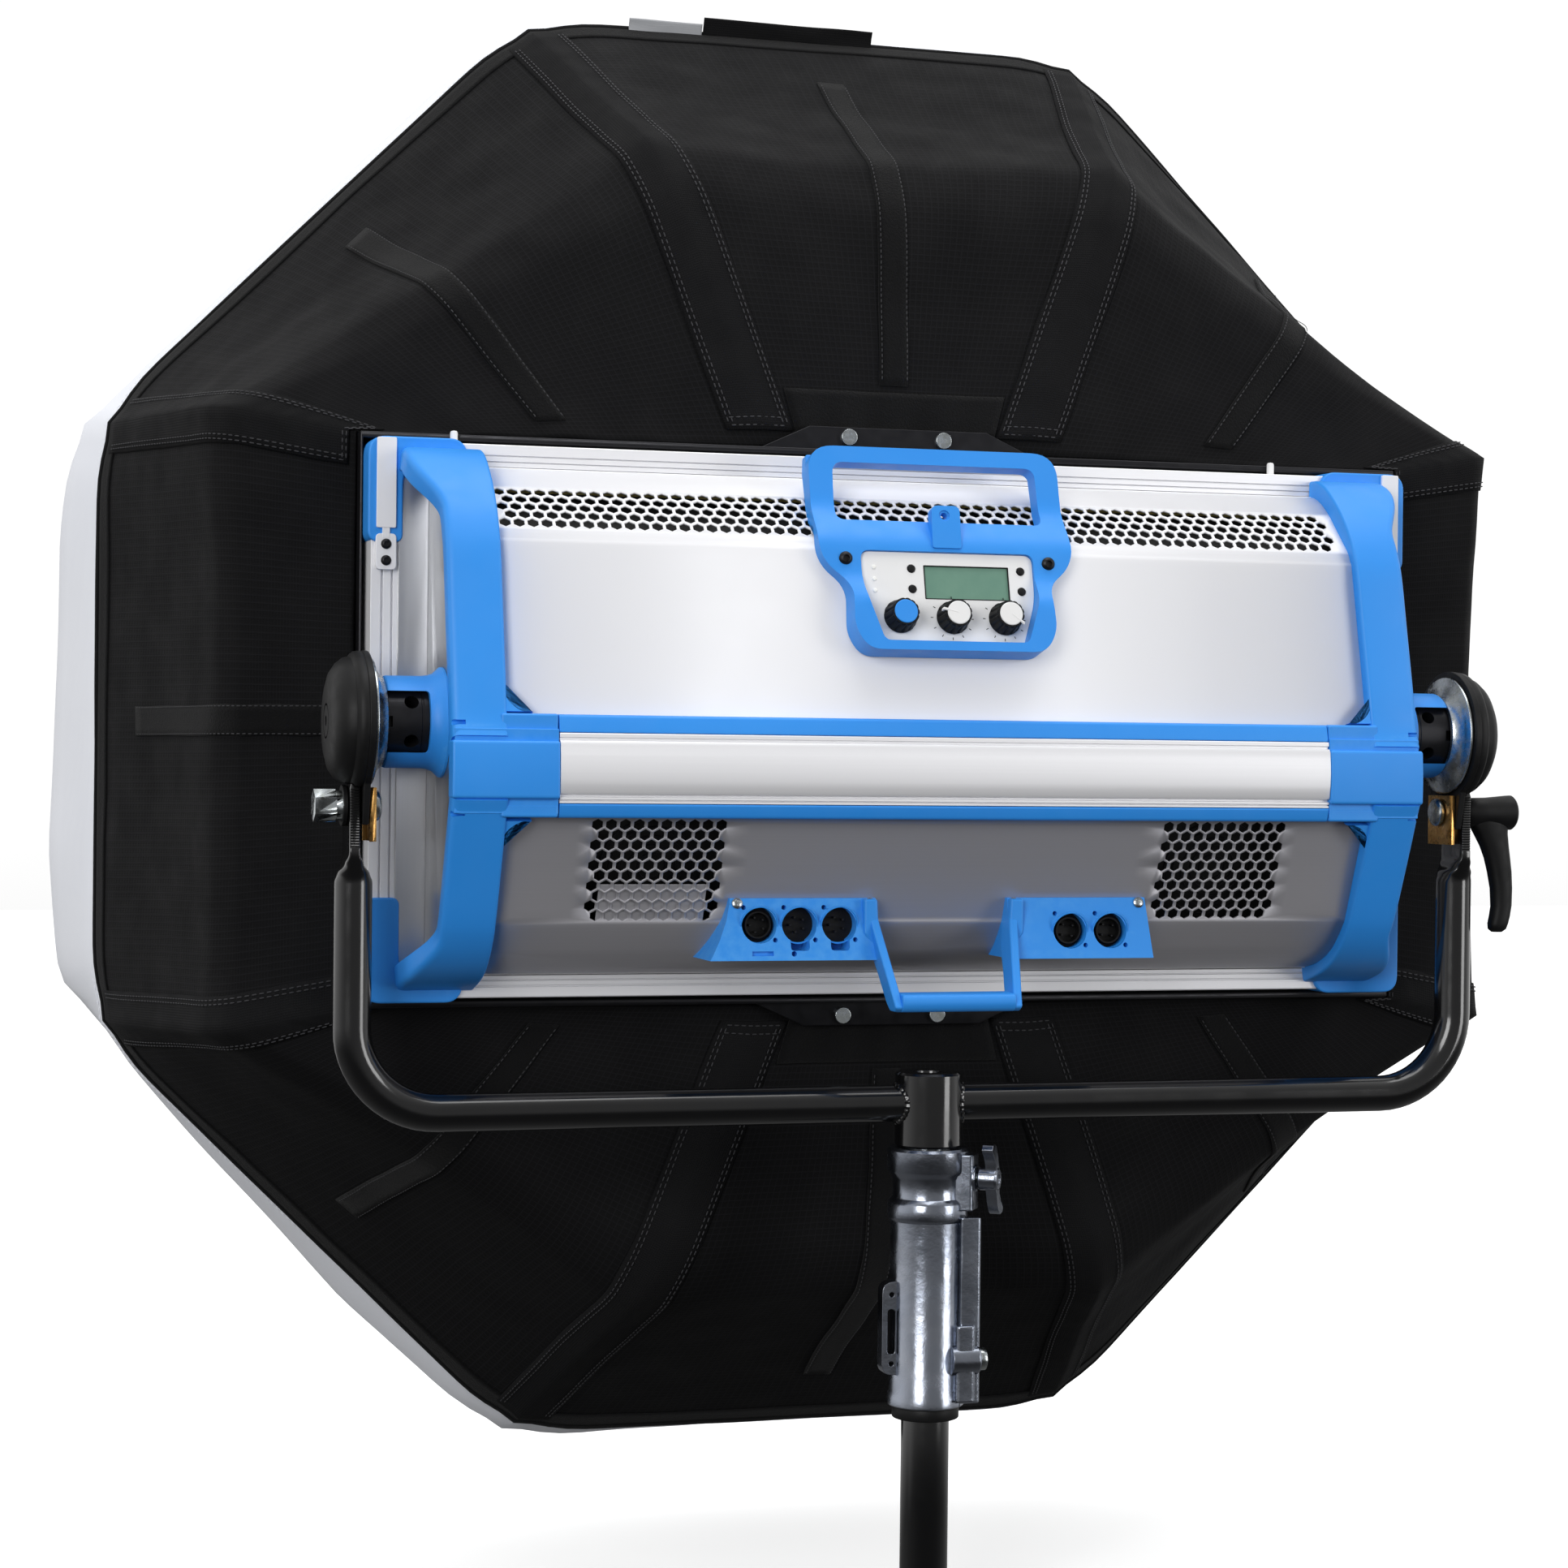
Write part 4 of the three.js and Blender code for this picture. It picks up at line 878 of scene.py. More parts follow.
def make_rim():
    """The hook band round the rim and the bound edge that the white cloth grips."""
    places = np.arange(0, 8, 1 / 30)
    rows = []
    for t in np.linspace(0.968, 0.998, 5):
        rows.append([cloth_point(p, t, 1.0)[0] for p in places])
    band = sheet_from(rows, "rim_band", 1.4, loop=True)
    cloth_piece(band, "rim_band", LOOK["velcro"])
    edge = Build()
    rings = []
    for p in places:
        centre = cloth_point(p, 1.0)[0]
        out = Vector((centre.x, 0, centre.z)).normalized()
        r = 2.3 + 0.5 * noise.noise(Vector((p * 7, 0.3, 4.4)))
        rings.append([tuple(centre + out * (r * math.cos(TAU * k / 10) + 0.4)
                            + Vector((0, r * math.sin(TAU * k / 10)
                      + 1.0, 0))) for k in range(10)])
    edge.loft(rings, close_rings=True)
    piece(edge, "rim_binding", LOOK["velcro"], "head", angle=80)


CAP_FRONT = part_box("front_diffuser")[1].y * 1000


def make_front_cloth():
    """The white front cloth: a shallow cap that grips the rim."""
    places = np.arange(0, 8, 1 / 28)
    wall = [(297.5, -1.0), (301, 0.6), (308, 1.4), (320, 1.0), (335, 0.2), (350, 0.2), (360, 0.8), (367, 0.4),
            (CAP_FRONT - 2.6, -1.6), (CAP_FRONT - 0.8, -4.2), (CAP_FRONT, -8.5)]
    rows = []
    for y, out in wall:
        row = []
        for p in places:
            q = Vector((p * 2.3, y * 0.02, 0.7))
            ruck = 2.2 * noise.noise(q) + 1.2 * noise.noise(q * 2.7)
            depth = min(1.0, (y - 297.5) / 12) * min(1.0, (CAP_FRONT - y) / 12 + 0.15)
            loose = np.interp(p, *zip(*LOOSE)) * ease(y, 299, 330) * (1 - 0.25 * ease(y, 360, CAP_FRONT))
            x, _, z = rim_at(p, RIM + 1.6 + out + loose + ruck * depth, y, CORNER_ROUND)
            row.append(Vector((x, y, z)))
        rows.append(row)
    for share in (0.94, 0.86, 0.74, 0.6, 0.45, 0.3, 0.16, 0.06, 0.0):
        row = []
        for p in places:
            loose = np.interp(p, *zip(*LOOSE)) * 0.75 * share ** 4
            x, _, z = rim_at(p, (RIM - 8) * share + loose, 0, CORNER_ROUND)
            sag = 1.6 * noise.noise(Vector((x * 0.006, z * 0.006, 3.1))) * (1 - share ** 3)
            row.append(Vector((x, CAP_FRONT - 0.6 + sag - 0.8 * (1 - share), z)))
        rows.append(row)
    ob = sheet_from(rows, "front_cloth", 1.1, loop=True)
    bm = bmesh.new()
    bm.from_mesh(ob.data)
    bmesh.ops.remove_doubles(bm, verts=bm.verts, dist=1e-5)
    bm.to_mesh(ob.data)
    bm.free()
    cloth_piece(ob, "front_cloth", LOOK["white_fabric"], ("front_diffuser",))
    hem, thread = Build(), Build()
    rings = []
    for p in places:
        x, y, z = rim_at(p, RIM + 1.4, 297.6, CORNER_ROUND)
        out = Vector((x, 0, z)).normalized()
        r = 1.9 + 0.35 * noise.noise(Vector((p * 9, 5.3, 4.4)))
        rings.append([tuple(Vector((x, y, z)) + out * r * math.cos(TAU * k / 10)
                            + Vector((0, r * math.sin(TAU * k
                      / 10), 0))) for k in range(10)])
    hem.loft(rings, close_rings=True)
    piece(hem, "front_cloth_hem", LOOK["white_fabric"], "head", angle=80)
    stitch_line(thread, [rim_at(p, RIM + 3.6, 303.5, CORNER_ROUND) for p in np.arange(0, 8, 0.02)], 3.0,
                5.0, 0.4)
    piece(thread, "front_cloth_stitches", LOOK["white_fabric"], "head")


def make_label_tabs():
    """Two blank sewn tabs in the top seam."""
    for name, x0, x1, look, tall in (("label_tab_grey", TAB_X[0], TAB_X[1], "grey_label", 14),
                                     ("label_tab_black", TAB_X[1] + 1, TAB_X[2], "webbing", 19)):
        rows = []
        for k in range(9):
            up = tall * k / 8
            row = []
            for x in np.linspace(x0, x1, 24):
                curl = 2.0 * noise.noise(Vector((x * 0.03, up * 0.05, 2.2)))
                row.append(Vector((x, 293 - 0.25 * up + curl, RIM - 2.0 + up * 0.62 + 0.01 * (x1 - x))))
            rows.append(row)
        ob = sheet_from(rows, name, 0.9)
        cloth_piece(ob, name, LOOK[look])


TAB_X = (-129.5, -77.0, 48.0)


def make_mount_frame():
    """The soft box's light alloy speed ring: a bent frame round the head, with an ear above and below."""
    dress("softbox_mount_frame", LOOK["black_metal"], 0.6)
    for i in range(8):
        dress(f"rib_{i + 1}", LOOK["steel"], 0.6)
    for sign, edge in ((1, BACK_TOP), (-1, BACK_LOW)):
        hook = Build()
        for x in (-34, 30):
            hook.turned([(71.2, 4.6), (71.2, 5.2), (72.6, 5.6), (74.0, 5.6)], "y",
                        (x, 0, edge + sign * 7.5), 20)
        piece(hook, f"frame_rivets_{'top' if sign > 0 else 'bottom'}", LOOK["steel"], "head",
              bevel=0.3, segments=2)


skin, skin_area = make_skin()
make_rib_flaps()
make_velcro()
make_rim()
make_front_cloth()
make_label_tabs()
make_mount_frame()

# ---------------------------------------------------------------- covers, rails and spine
UPPER_LINE = [(50, 157.4), (42, 156.0), (32, 151.6), (22, 144.6), (6, 131.5), (-7, 118.5), (-12.5, 109.5),
              (-15.2, 101), (-36.5, 8), (-38.5, -1)]
LOWER_LINE = [(-39.5, -49), (-36, -56.5), (-14, -112), (-9, -121.5), (0, -132), (9, -140), (22, -147),
              (36, -151.6), (51, -154.4)]
HEX_PITCH = 8.55
HEX_ROW = HEX_PITCH * math.sin(math.radians(60))
HEX_SIZE = 3.95                   # centre to corner


class Profile:
    """A smooth (y, z) line measured along its length, for a sheet that runs along X."""

    def __init__(self, points):
        curve = np.array(smooth_curve([(a, b, 0) for a, b in points], 1.5))[:, :2]
        self.points = curve
        self.length = np.concatenate([[0], np.cumsum(np.linalg.norm(np.diff(curve, axis=0), axis=1))])

    def at(self, s):
        y = np.interp(s, self.length, self.points[:, 0])
        z = np.interp(s, self.length, self.points[:, 1])
        return float(y), float(z)

    def where_z(self, z):
        order = np.argsort(self.points[:, 1])
        return float(np.interp(z, self.points[order, 1], self.length[order]))


def hexagon(x, v, size=HEX_SIZE):
    return [(x + size * math.sin(TAU * k / 6), v + size * math.cos(TAU * k / 6)) for k in range(6)]


def within(p, poly):
    """Whether a point lies inside an outline."""
    hit = False
    for a, b in zip(poly, poly[1:] + poly[:1]):
        if (a[1] > p[1]) != (b[1] > p[1]) and p[0] < (b[0] - a[0]) * (p[1] - a[1]) / (b[1] - a[1]) + a[0]:
            hit = not hit
    return hit


def near(p, poly):
    """A quick first test: whether a point lies inside an outline's own box."""
    return (min(q[0] for q in poly) <= p[0] <= max(q[0] for q in poly)
            and min(q[1] for q in poly) <= p[1] <= max(q[1] for q in poly))


def triangulate(outline, holes, extra=()):
    """Fills an outline round its holes; returns points and triangles."""
    pts = [Vector(p) for p in outline]
    edges = [(i, (i + 1) % len(pts)) for i in range(len(pts))]
    for hole in holes:
        start = len(pts)
        pts += [Vector(p) for p in hole]
        edges += [(start + i, start + (i + 1) % len(hole)) for i in range(len(hole))]
    pts += [Vector(p) for p in extra]
    out = geometry.delaunay_2d_cdt(pts, edges, [], 0, 1e-5, False)
    flat = [tuple(p) for p in out[0]]

    def kept(face):
        middle = tuple(sum(flat[i][k] for i in face) / len(face) for k in (0, 1))
        return within(middle, outline) and not any(near(middle, h) and within(middle, h) for h in holes)

    return flat, [tuple(f) for f in out[2] if kept(f)]


def punched_sheet(name, line, half, bands, inside, finish, replaces):
    """A bent sheet along X with hexagonal vents; bands are (low, high, holes) along the profile."""
    profile = Profile(line)
    total = profile.length[-1]
    verts, faces = [], []

    def place(points):
        base = len(verts)
        verts.extend((x, *profile.at(v)) for x, v in points)
        return base

    plain = []
    edge = 0.0
    for low, high, holes in bands:
        plain.append((edge, low))
        fill = [(x, v) for x in np.linspace(-half, half, 48)[1:-1] for v in np.linspace(low, high, 14)[1:-1]
                if all(math.hypot(x - c[0], v - c[1]) > 2.2 * HEX_SIZE for c in (h[0] for h in holes))]
        pts, tris = triangulate([(-half, low), (half, low), (half, high), (-half, high)], holes, fill)
        base = place(pts)
        faces += [tuple(base + i for i in t) for t in tris]
        edge = high
    plain.append((edge, total))
    for low, high in plain:
        steps = max(1, int((high - low) / 3))
        rows = [place([(-half, v), (half, v)]) for v in np.linspace(low, high, steps + 1)]
        faces += [(a, a + 1, b + 1, b) for a, b in zip(rows, rows[1:])]
    build = Build().add(verts, faces)
    ob = build.object(name)
    bm = bmesh.new()
    bm.from_mesh(ob.data)
    bmesh.ops.remove_doubles(bm, verts=bm.verts, dist=2e-5)
    bmesh.ops.recalc_face_normals(bm, faces=bm.faces)
    rear = max(bm.faces, key=lambda f: f.calc_area())
    if rear.normal.y > 0:
        bmesh.ops.reverse_faces(bm, faces=bm.faces)
    bm.to_mesh(ob.data)
    bm.free()
    solid = ob.modifiers.new("thickness", "SOLIDIFY")
    solid.thickness, solid.offset, solid.material_offset = 0.0015, -1, 1
    piece(ob, name, finish, "head", replaces, angle=35)
    ob.data.materials.append(inside)
    return ob


# The covers' back faces take the near-black painted shade finish.
def make_covers():
    profile = Profile(UPPER_LINE)
    mid = profile.where_z(131.0)
    holes = []
    for row in range(-2, 3):
        v = mid - row * HEX_ROW
        shift = HEX_PITCH / 2 if row % 2 else 0
        holes += [hexagon(k * HEX_PITCH + shift, v) for k in range(-32, 32)]
    span = (mid - 2 * HEX_ROW - 6, mid + 2 * HEX_ROW + 6)
    punched_sheet("upper_cover_sheet", UPPER_LINE, COVER_X + 2, [(*span, holes)], LOOK["painted_shade_inside"],
                  LOOK["white_paint"], ("upper_cover",))

    profile = Profile(LOWER_LINE)
    first, last = profile.where_z(-58.5), profile.where_z(-114.0)
    pitch, rows = 8.5, 10
    holes = []
    for row in range(rows):
        v = first + 1.5 + row * (last - first) / (rows - 1)
        count = 9 + (row % 2 == 0)
        for side in (-1, 1):
            for k in range(count):
                x = side * 183.5 + (k - (count - 1) / 2) * pitch
                holes.append(hexagon(x, v, 3.85))
    span = (first - 4.5, last + 8)
    punched_sheet("lower_cover_sheet", LOWER_LINE, COVER_X + 2, [(*span, holes)], LOOK["painted_shade_inside"],
                  LOOK["grey_steel"], ("lower_cover",))


def make_chassis():
    """What shows through the vents: a near-black sheet behind them, painted shade for the inside of the head,
    and a fan guard plate behind the left vent.
    """
    # Painted shade: a near-black sheet set a little behind the covers so the vents read dark.
    shade_backing = Build()
    line = [(46, 142), (28, 132), (12, 116), (5, 102), (-16, 6), (-16, -52), (4, -108), (18, -128),
            (46, -142)]
    shade_backing.prism(line + offset_line(line, 1.2)[::-1], "x", -300, 300)
    piece(shade_backing, "painted_shade_backing", LOOK["painted_shade_inside"], "head")
    plate = Build()
    plate.prism([(-19.5, -96), (-18, -96), (-8.5, -119), (-10, -119)], "x", -217, -150)
    piece(plate, "fan_guard_plate", LOOK["grey_steel"], "head", bevel=0.4)
    fans = Build()
    for x in (-183.5, 183.5):
        for k in range(5):
            start = len(fans.verts)
            fans.turned([(0, 8 + 6 * k), (1.6, 8 + 6 * k), (1.6, 9.2 + 6 * k), (0, 9.2 + 6 * k)], "y",
                        (0, 0, 0),
                        40, closed=True)
            fans.moved(Matrix.Translation((x, -14.5, -86)) @ Matrix.Rotation(LIGHT_LEAN, 4, "X"), start)
    piece(fans, "fan_guards", LOOK["black_metal"], "head", bevel=0.3, segments=1)


def rail_profile():
    """Half a rail's rear face: bands parted by thin grooves, (depth, height below the top edge)."""
    depth = FRAME_REAR
    line = [(depth + 0.6, 0), (depth, 0.6)]
    for low, high in ((6.6, 7.6), (10.4, 11.2)):
        line += [(depth, low), (depth + 2.0, low), (depth + 2.0, high), (depth, high)]
    return line + [(depth, RAIL - 0.4), (depth + 0.4, RAIL), (FRAME_FRONT, RAIL), (FRAME_FRONT, 0)]


def make_rails():
    reach = HEAD_X - CORNER_LENGTH + 3
    for name, edge, sign in (("top", HEAD_TOP, 1), ("bottom", HEAD_LOW, -1)):
        outline = [(y, edge - sign * d) for y, d in rail_profile()]
        piece(Build().prism(outline, "x", -reach, reach), f"frame_rail_{name}", LOOK["aluminium"], "head",
              (f"rail_{name}",), bevel=0.25, segments=2)
        lip = Build().box(-COVER_X, COVER_X, 47.5, 52.5, edge - sign * (RAIL + 0.5),
                          edge - sign * (RAIL + 3.6))
        piece(lip, f"cover_lip_{name}", LOOK["aluminium"], "head", bevel=0.9)
        clips = Build()
        for x in (-292, 258):
            if sign > 0:
                clips.turned([(edge, 2.4), (edge + 7.5, 2.4), (edge + 8.6, 1.8), (edge + 9, 0)], "z",
                             (x, 66, 0), 20)
        if sign > 0:
            piece(clips, "frame_pins", LOOK["white_plastic"], "head")
    low, high = HEAD_LOW + CORNER_DROP - 3, HEAD_TOP - CORNER_DROP + 3
    for side, sign in (("left", -1), ("right", 1)):
        outline = []
        for x0, x1 in ((0, 6.2), (7.6, 12.4)):
            outline += [(x0, FRAME_REAR), (x1, FRAME_REAR), (x1, FRAME_REAR + 2.2), (x1 + 1.2,
                                                                                     FRAME_REAR + 2.2)]
        outline += [(13.6, FRAME_REAR), (SIDE_RAIL, FRAME_REAR), (SIDE_RAIL, FRAME_FRONT), (0, FRAME_FRONT)]
        outline = [(sign * (HEAD_X - x), y) for x, y in outline]
        piece(Build().prism(outline, "z", low, high), f"frame_upright_{side}", LOOK["aluminium_up"], "head",
              (f"rail_{side}",), bevel=0.25, segments=2)


def make_spine():
    """The extruded spine between the covers, with a fine rib along each edge, and its two blue trims."""
    y, low, high = -50.0, -47.0, -5.5
    outline = [(-38, high), (y + 2.6, high), (y + 2.0, high - 0.5), (y + 2.0, high - 2.6), (y + 3.4,
                                                                                            high - 2.8),
               (y + 3.4, high - 4.4), (y + 1.0, high - 4.6), (y - 0.2, high - 6.5), (y - 1.0, high - 14),
               (y - 1.3, -26), (y - 1.0, low + 14), (y - 0.2, low + 7), (y + 0.6, low + 5.4),
               (y + 3.2, low + 5.2), (y + 3.2, low + 3.8), (y + 1.0, low + 3.6), (y + 1.0, low + 2.2),
               (y + 2.8, low + 2.0), (y + 2.8, low + 1.4), (y + 1.4, low + 1.2), (y + 1.4, low), (-38, low)]
    piece(Build().prism(outline, "x", -SPINE_X, SPINE_X), "spine_extrusion", LOOK["aluminium"], "head",
          ("spine_cover",), bevel=0.2, segments=2, angle=40)
    upper = rounded([(-38, -5.2), (-47.0, -5.2), (-44.2, 5.4), (-37.5, 5.4)], [0, 1.2, 2.2, 0])
    lower = rounded([(-38, -47.3), (-49.2, -47.3), (-46.4, -55.8), (-37.0, -55.8)], [0, 1.6, 2.2, 0])
    for name, outline in (("upper", upper), ("lower", lower)):
        piece(Build().prism(outline, "x", -SPINE_X, SPINE_X), f"spine_strip_{name}", LOOK["blue"], "head",
              (f"spine_trim_{name}",), bevel=0.3)


make_covers()
make_chassis()
make_rails()
make_spine()

# ---------------------------------------------------------------- bumpers, corners and pivots
BUMPER = [(50, 168), (38, 166.8), (24, 160.5), (6, 146.5), (-8, 131), (-17, 116), (-23, 100), (-31, 66),
          (-40, 28), (-45.5, 3), (-49.5, -7.6)]
BUMPER_FOOT = [(-51.4, -45.6), (-47.6, -53.5), (-41.5, -68), (-31, -92), (-20, -116), (-13, -128),
               (-3, -139.5),
               (10, -149.5), (26, -157), (50, -164)]


def bumper_arm(line, flare_from):
    """A curved bar with a rounded section, which widens towards the frame's corner."""
    profile = Profile(line)
    total = profile.length[-1]
    rings = []
    for s in np.linspace(0, total, 64):
        y, z = profile.at(s)
        ya, za = profile.at(max(s - 1, 0))
        yb, zb = profile.at(min(s + 1, total))
        run = math.hypot(yb - ya, zb - za)
        ny, nz = -(zb - za) / run, (yb - ya) / run
        if ny * -1 + nz * math.copysign(1, z) * 0.4 < 0:
            ny, nz = -ny, -nz
        corner = min(max((abs(z) - flare_from) / (164 - flare_from), 0), 1)
        flare = corner * corner * (3 - 2 * corner)
        x1 = BUMPER_X + 15.5 * flare
        thick = 12.5 + 2 * flare
        section = rounded([(COVER_X - 1, 0), (x1, 0), (x1 + 1.5 * flare, -thick), (COVER_X - 1, -thick)],
                          [2.4, 5.0, 1.5, 0.5], 5)
        rings.append([(x, y + ny * n, z + nz * n) for x, n in section])
    return Build().loft(rings)


def fillet_web(corner, turn):
    """The rounded inside corner between an arm and the spine, on the plane of the cover: (x, y, z) corner."""
    radius, thick = 17.0, 7.0
    outline = [(0, 0)] + [(-radius + radius * math.sin(a), radius - radius * math.cos(a))
                          for a in np.linspace(0, math.pi / 2, 12)]
    build = Build()
    lean = math.atan2(21.5, 95) if turn > 0 else math.atan2(24, 59.5)
    along = Vector((0, math.sin(lean), math.cos(lean) * turn))
    normal = Vector((0, -math.cos(lean), math.sin(lean) * turn))
    rings = []
    for n in (-thick, -1.0, 0.0):
        ring = []
        for a, b in outline:
            shrink = 0.7 if n == 0 else 0.0
            q = Vector(corner) + Vector((a + (shrink if a < 0 else 0), 0, 0)) + along * max(b - shrink, 0)
            ring.append(tuple(q + normal * (n + thick)))
        rings.append(ring)
    return build.loft(rings)


def make_bumpers():
    for side, sign in (("right", 1), ("left", -1)):
        upper = bumper_arm(BUMPER, 128)
        lower = bumper_arm(BUMPER_FOOT, 128)
        root = Build().box(SPINE_X + 0.6, COVER_X + 3, -46.4, -38.5, -5.0, 5.6)
        foot = Build().box(SPINE_X + 0.6, COVER_X + 3, -48.4, -38.5, -55.6, -47.5)
        block = Build().prism(rounded([(-52.0, -44.6), (-52.4, -26), (-51.2, -10.4), (-38, -10.4),
                                       (-38, -44.6)],
                                      [2.2, 12, 2.2, 0, 0]), "x", SPINE_X + 0.3, BUMPER_X + 0.4)
        strip = Build().box(SPINE_X + 0.6, BUMPER_X - 1.4, -48.2, -38, -53.4, -3.4)
        web_up = fillet_web((COVER_X + 0.2, -36.6, 5.2), 1)
        web_low = fillet_web((COVER_X + 0.2, -36.8, -55.4), -1)
        shapes = [("arm_upper", upper, 0, 0), ("arm_lower", lower, 0, 0), ("root_upper", root, 1.6, 3),
                  ("root_lower", foot, 1.6, 3), ("block", block, 1.4, 3), ("strip", strip, 0.5, 2),
                  ("fillet_upper", web_up, 0.4, 2), ("fillet_lower", web_low, 0.4, 2)]
        names = []
        for name, build, bevel, segments in shapes:
            build = build if sign > 0 else build.mirror_x()
            cut = []
            if name.startswith("arm"):
                high = name == "arm_upper"
                z = -2.4 if high else -50.2
                slot = Build().turned([(-9, 1.7), (9, 1.7)], "x", (0, 0, 0), 16)
                slot.verts = [(x, y * 1.5, zz) for x, y, zz in slot.verts]
                slot.moved(Matrix.Translation((sign * 313, -45, z + (2.2 if high else -3.6))))
                cut = [slot]
            ob = piece(build, f"bumper_{side}_{name}", LOOK["blue"], "head",
                       (f"bumper_{side}",) if name == "arm_upper" else (), bevel=bevel, segments=segments,
                       angle=40, cut=cut)
            names.append(ob)


def make_corners():
    out = HEAD_X + 2.5
    for side, sign in (("right", 1), ("left", -1)):
        for level, edge, up in (("top", HEAD_TOP, 1), ("bottom", HEAD_LOW, -1)):
            e = edge + up * 2.5
            inner = HEAD_X - CORNER_LENGTH
            leg = out - SIDE_RAIL - 4
            points = [(inner + 1, e), (out, e), (out, edge - up * CORNER_DROP),
                      (leg, edge - up * CORNER_DROP),
                      (leg, edge - up * RAIL), (inner - 4, edge - up * RAIL)]
            outline = [(sign * a, b) for a, b in rounded(points, [9, 11, 7, 5, 13, 3], 8)]
            piece(Build().prism(outline, "y", 48.6, FRAME_FRONT), f"corner_{level}_{side}", LOOK["blue"],
                  "head",
                  (f"frame_corner_{level}_{side}",), bevel=2.4, segments=4)
            inside = [(sign * a, b) for a, b in rounded([(inner + 1, edge - up * 14.4), (leg - 1,
                                                                                         edge - up * 14.4),
                      (leg - 1, edge - up * 24), (inner + 16, edge - up * 19)], 3)]
            piece(Build().prism(inside, "y", 52, 84), f"corner_web_{level}_{side}", LOOK["blue"], "head",
                  bevel=1.2)
    for side, sign in (("right", 1), ("left", -1)):
        latch = Build()
        latch.prism([(sign * a, b) for a, b in rounded([(330.5, 118.5), (342.5, 118.5), (342.5, 173.6),
                    (330.5, 173.6)], 1.2)], "y", 46.6, 49.6)
        latch.box(sign * 334.2, sign * 338.8, 47, 50, 112, 119)
        latch.prism([(sign * a, b) for a, b in rounded([(330.2, 93), (342.8, 93), (342.8, 115),
                                                        (330.2, 115)], 3)],
                    "y", 47.2, 51.6)
        piece(latch, f"latch_strip_{side}", LOOK["white_paint"], "head", bevel=0.4)
        screws = Build()
        for z in (98.6, 108.6):
            button_screw(screws, (sign * 336.5, 47.2, z), 3.2)
        piece(screws, f"latch_screws_{side}", LOOK["black_metal"], "head", bevel=0.15,
              segments=1)
        teeth = Build()
        for x in (331.8, 340.2):
            teeth.box(sign * x - 1.2, sign * x + 1.2, 49, 52, 114.6, 119)
        piece(teeth, f"latch_springs_{side}", LOOK["black_metal"], "head", bevel=0.3)


def button_screw(build, place, radius, axis="y", away=-1):
    """A button-head screw with a hexagon socket, standing off its seat towards away along the axis."""
    rise = radius * 0.55
    start = len(build.verts)
    build.turned([(0, radius), (0.25 * rise, radius), (0.6 * rise, 0.86 * radius), (0.95 * rise,
                                                                                    0.6 * radius),
                  (rise, 0.48 * radius), (0.35 * rise, 0.46 * radius), (0.3 * rise, 0)], "z", (0, 0, 0), 24)
    turn = {"y": Matrix.Rotation(math.pi / 2 * -away, 4, "X"), "x": Matrix.Rotation(math.pi / 2 * away, 4,
                                                                                    "Y")}[axis]
    build.moved(Matrix.Translation(place) @ turn, start)


def cross_screw(build, place, radius, tilt=0.0):
    """A pan-head screw with a cross slot, facing backwards; tilt leans it about X."""
    start = len(build.verts)
    build.turned([(0, radius), (0.5, radius), (1.1, radius * 0.8), (1.5, radius * 0.35), (1.55, 0)], "z",
                 (0, 0, 0), 28)
    head_end = len(build.verts)
    build.box(-radius * 0.62, radius * 0.62, -0.28, 0.28, 1.25, 1.72)
    build.box(-0.28, 0.28, -radius * 0.62, radius * 0.62, 1.25, 1.72)
    build.moved(Matrix.Translation(place) @ Matrix.Rotation(math.pi / 2 + tilt, 4, "X"), start)
    return head_end


def make_end_plates():
    for side, sign in (("right", 1), ("left", -1)):
        dress(f"end_plate_{side}", LOOK["end_plate"], 0.4)
        low, high = sorted((sign * 308.5, sign * 328.5))
        flange = Build().box(low, high, 50.6, 52.4, -150, 150)
        piece(flange, f"end_flange_{side}", LOOK["end_plate"], "head", bevel=0.4)


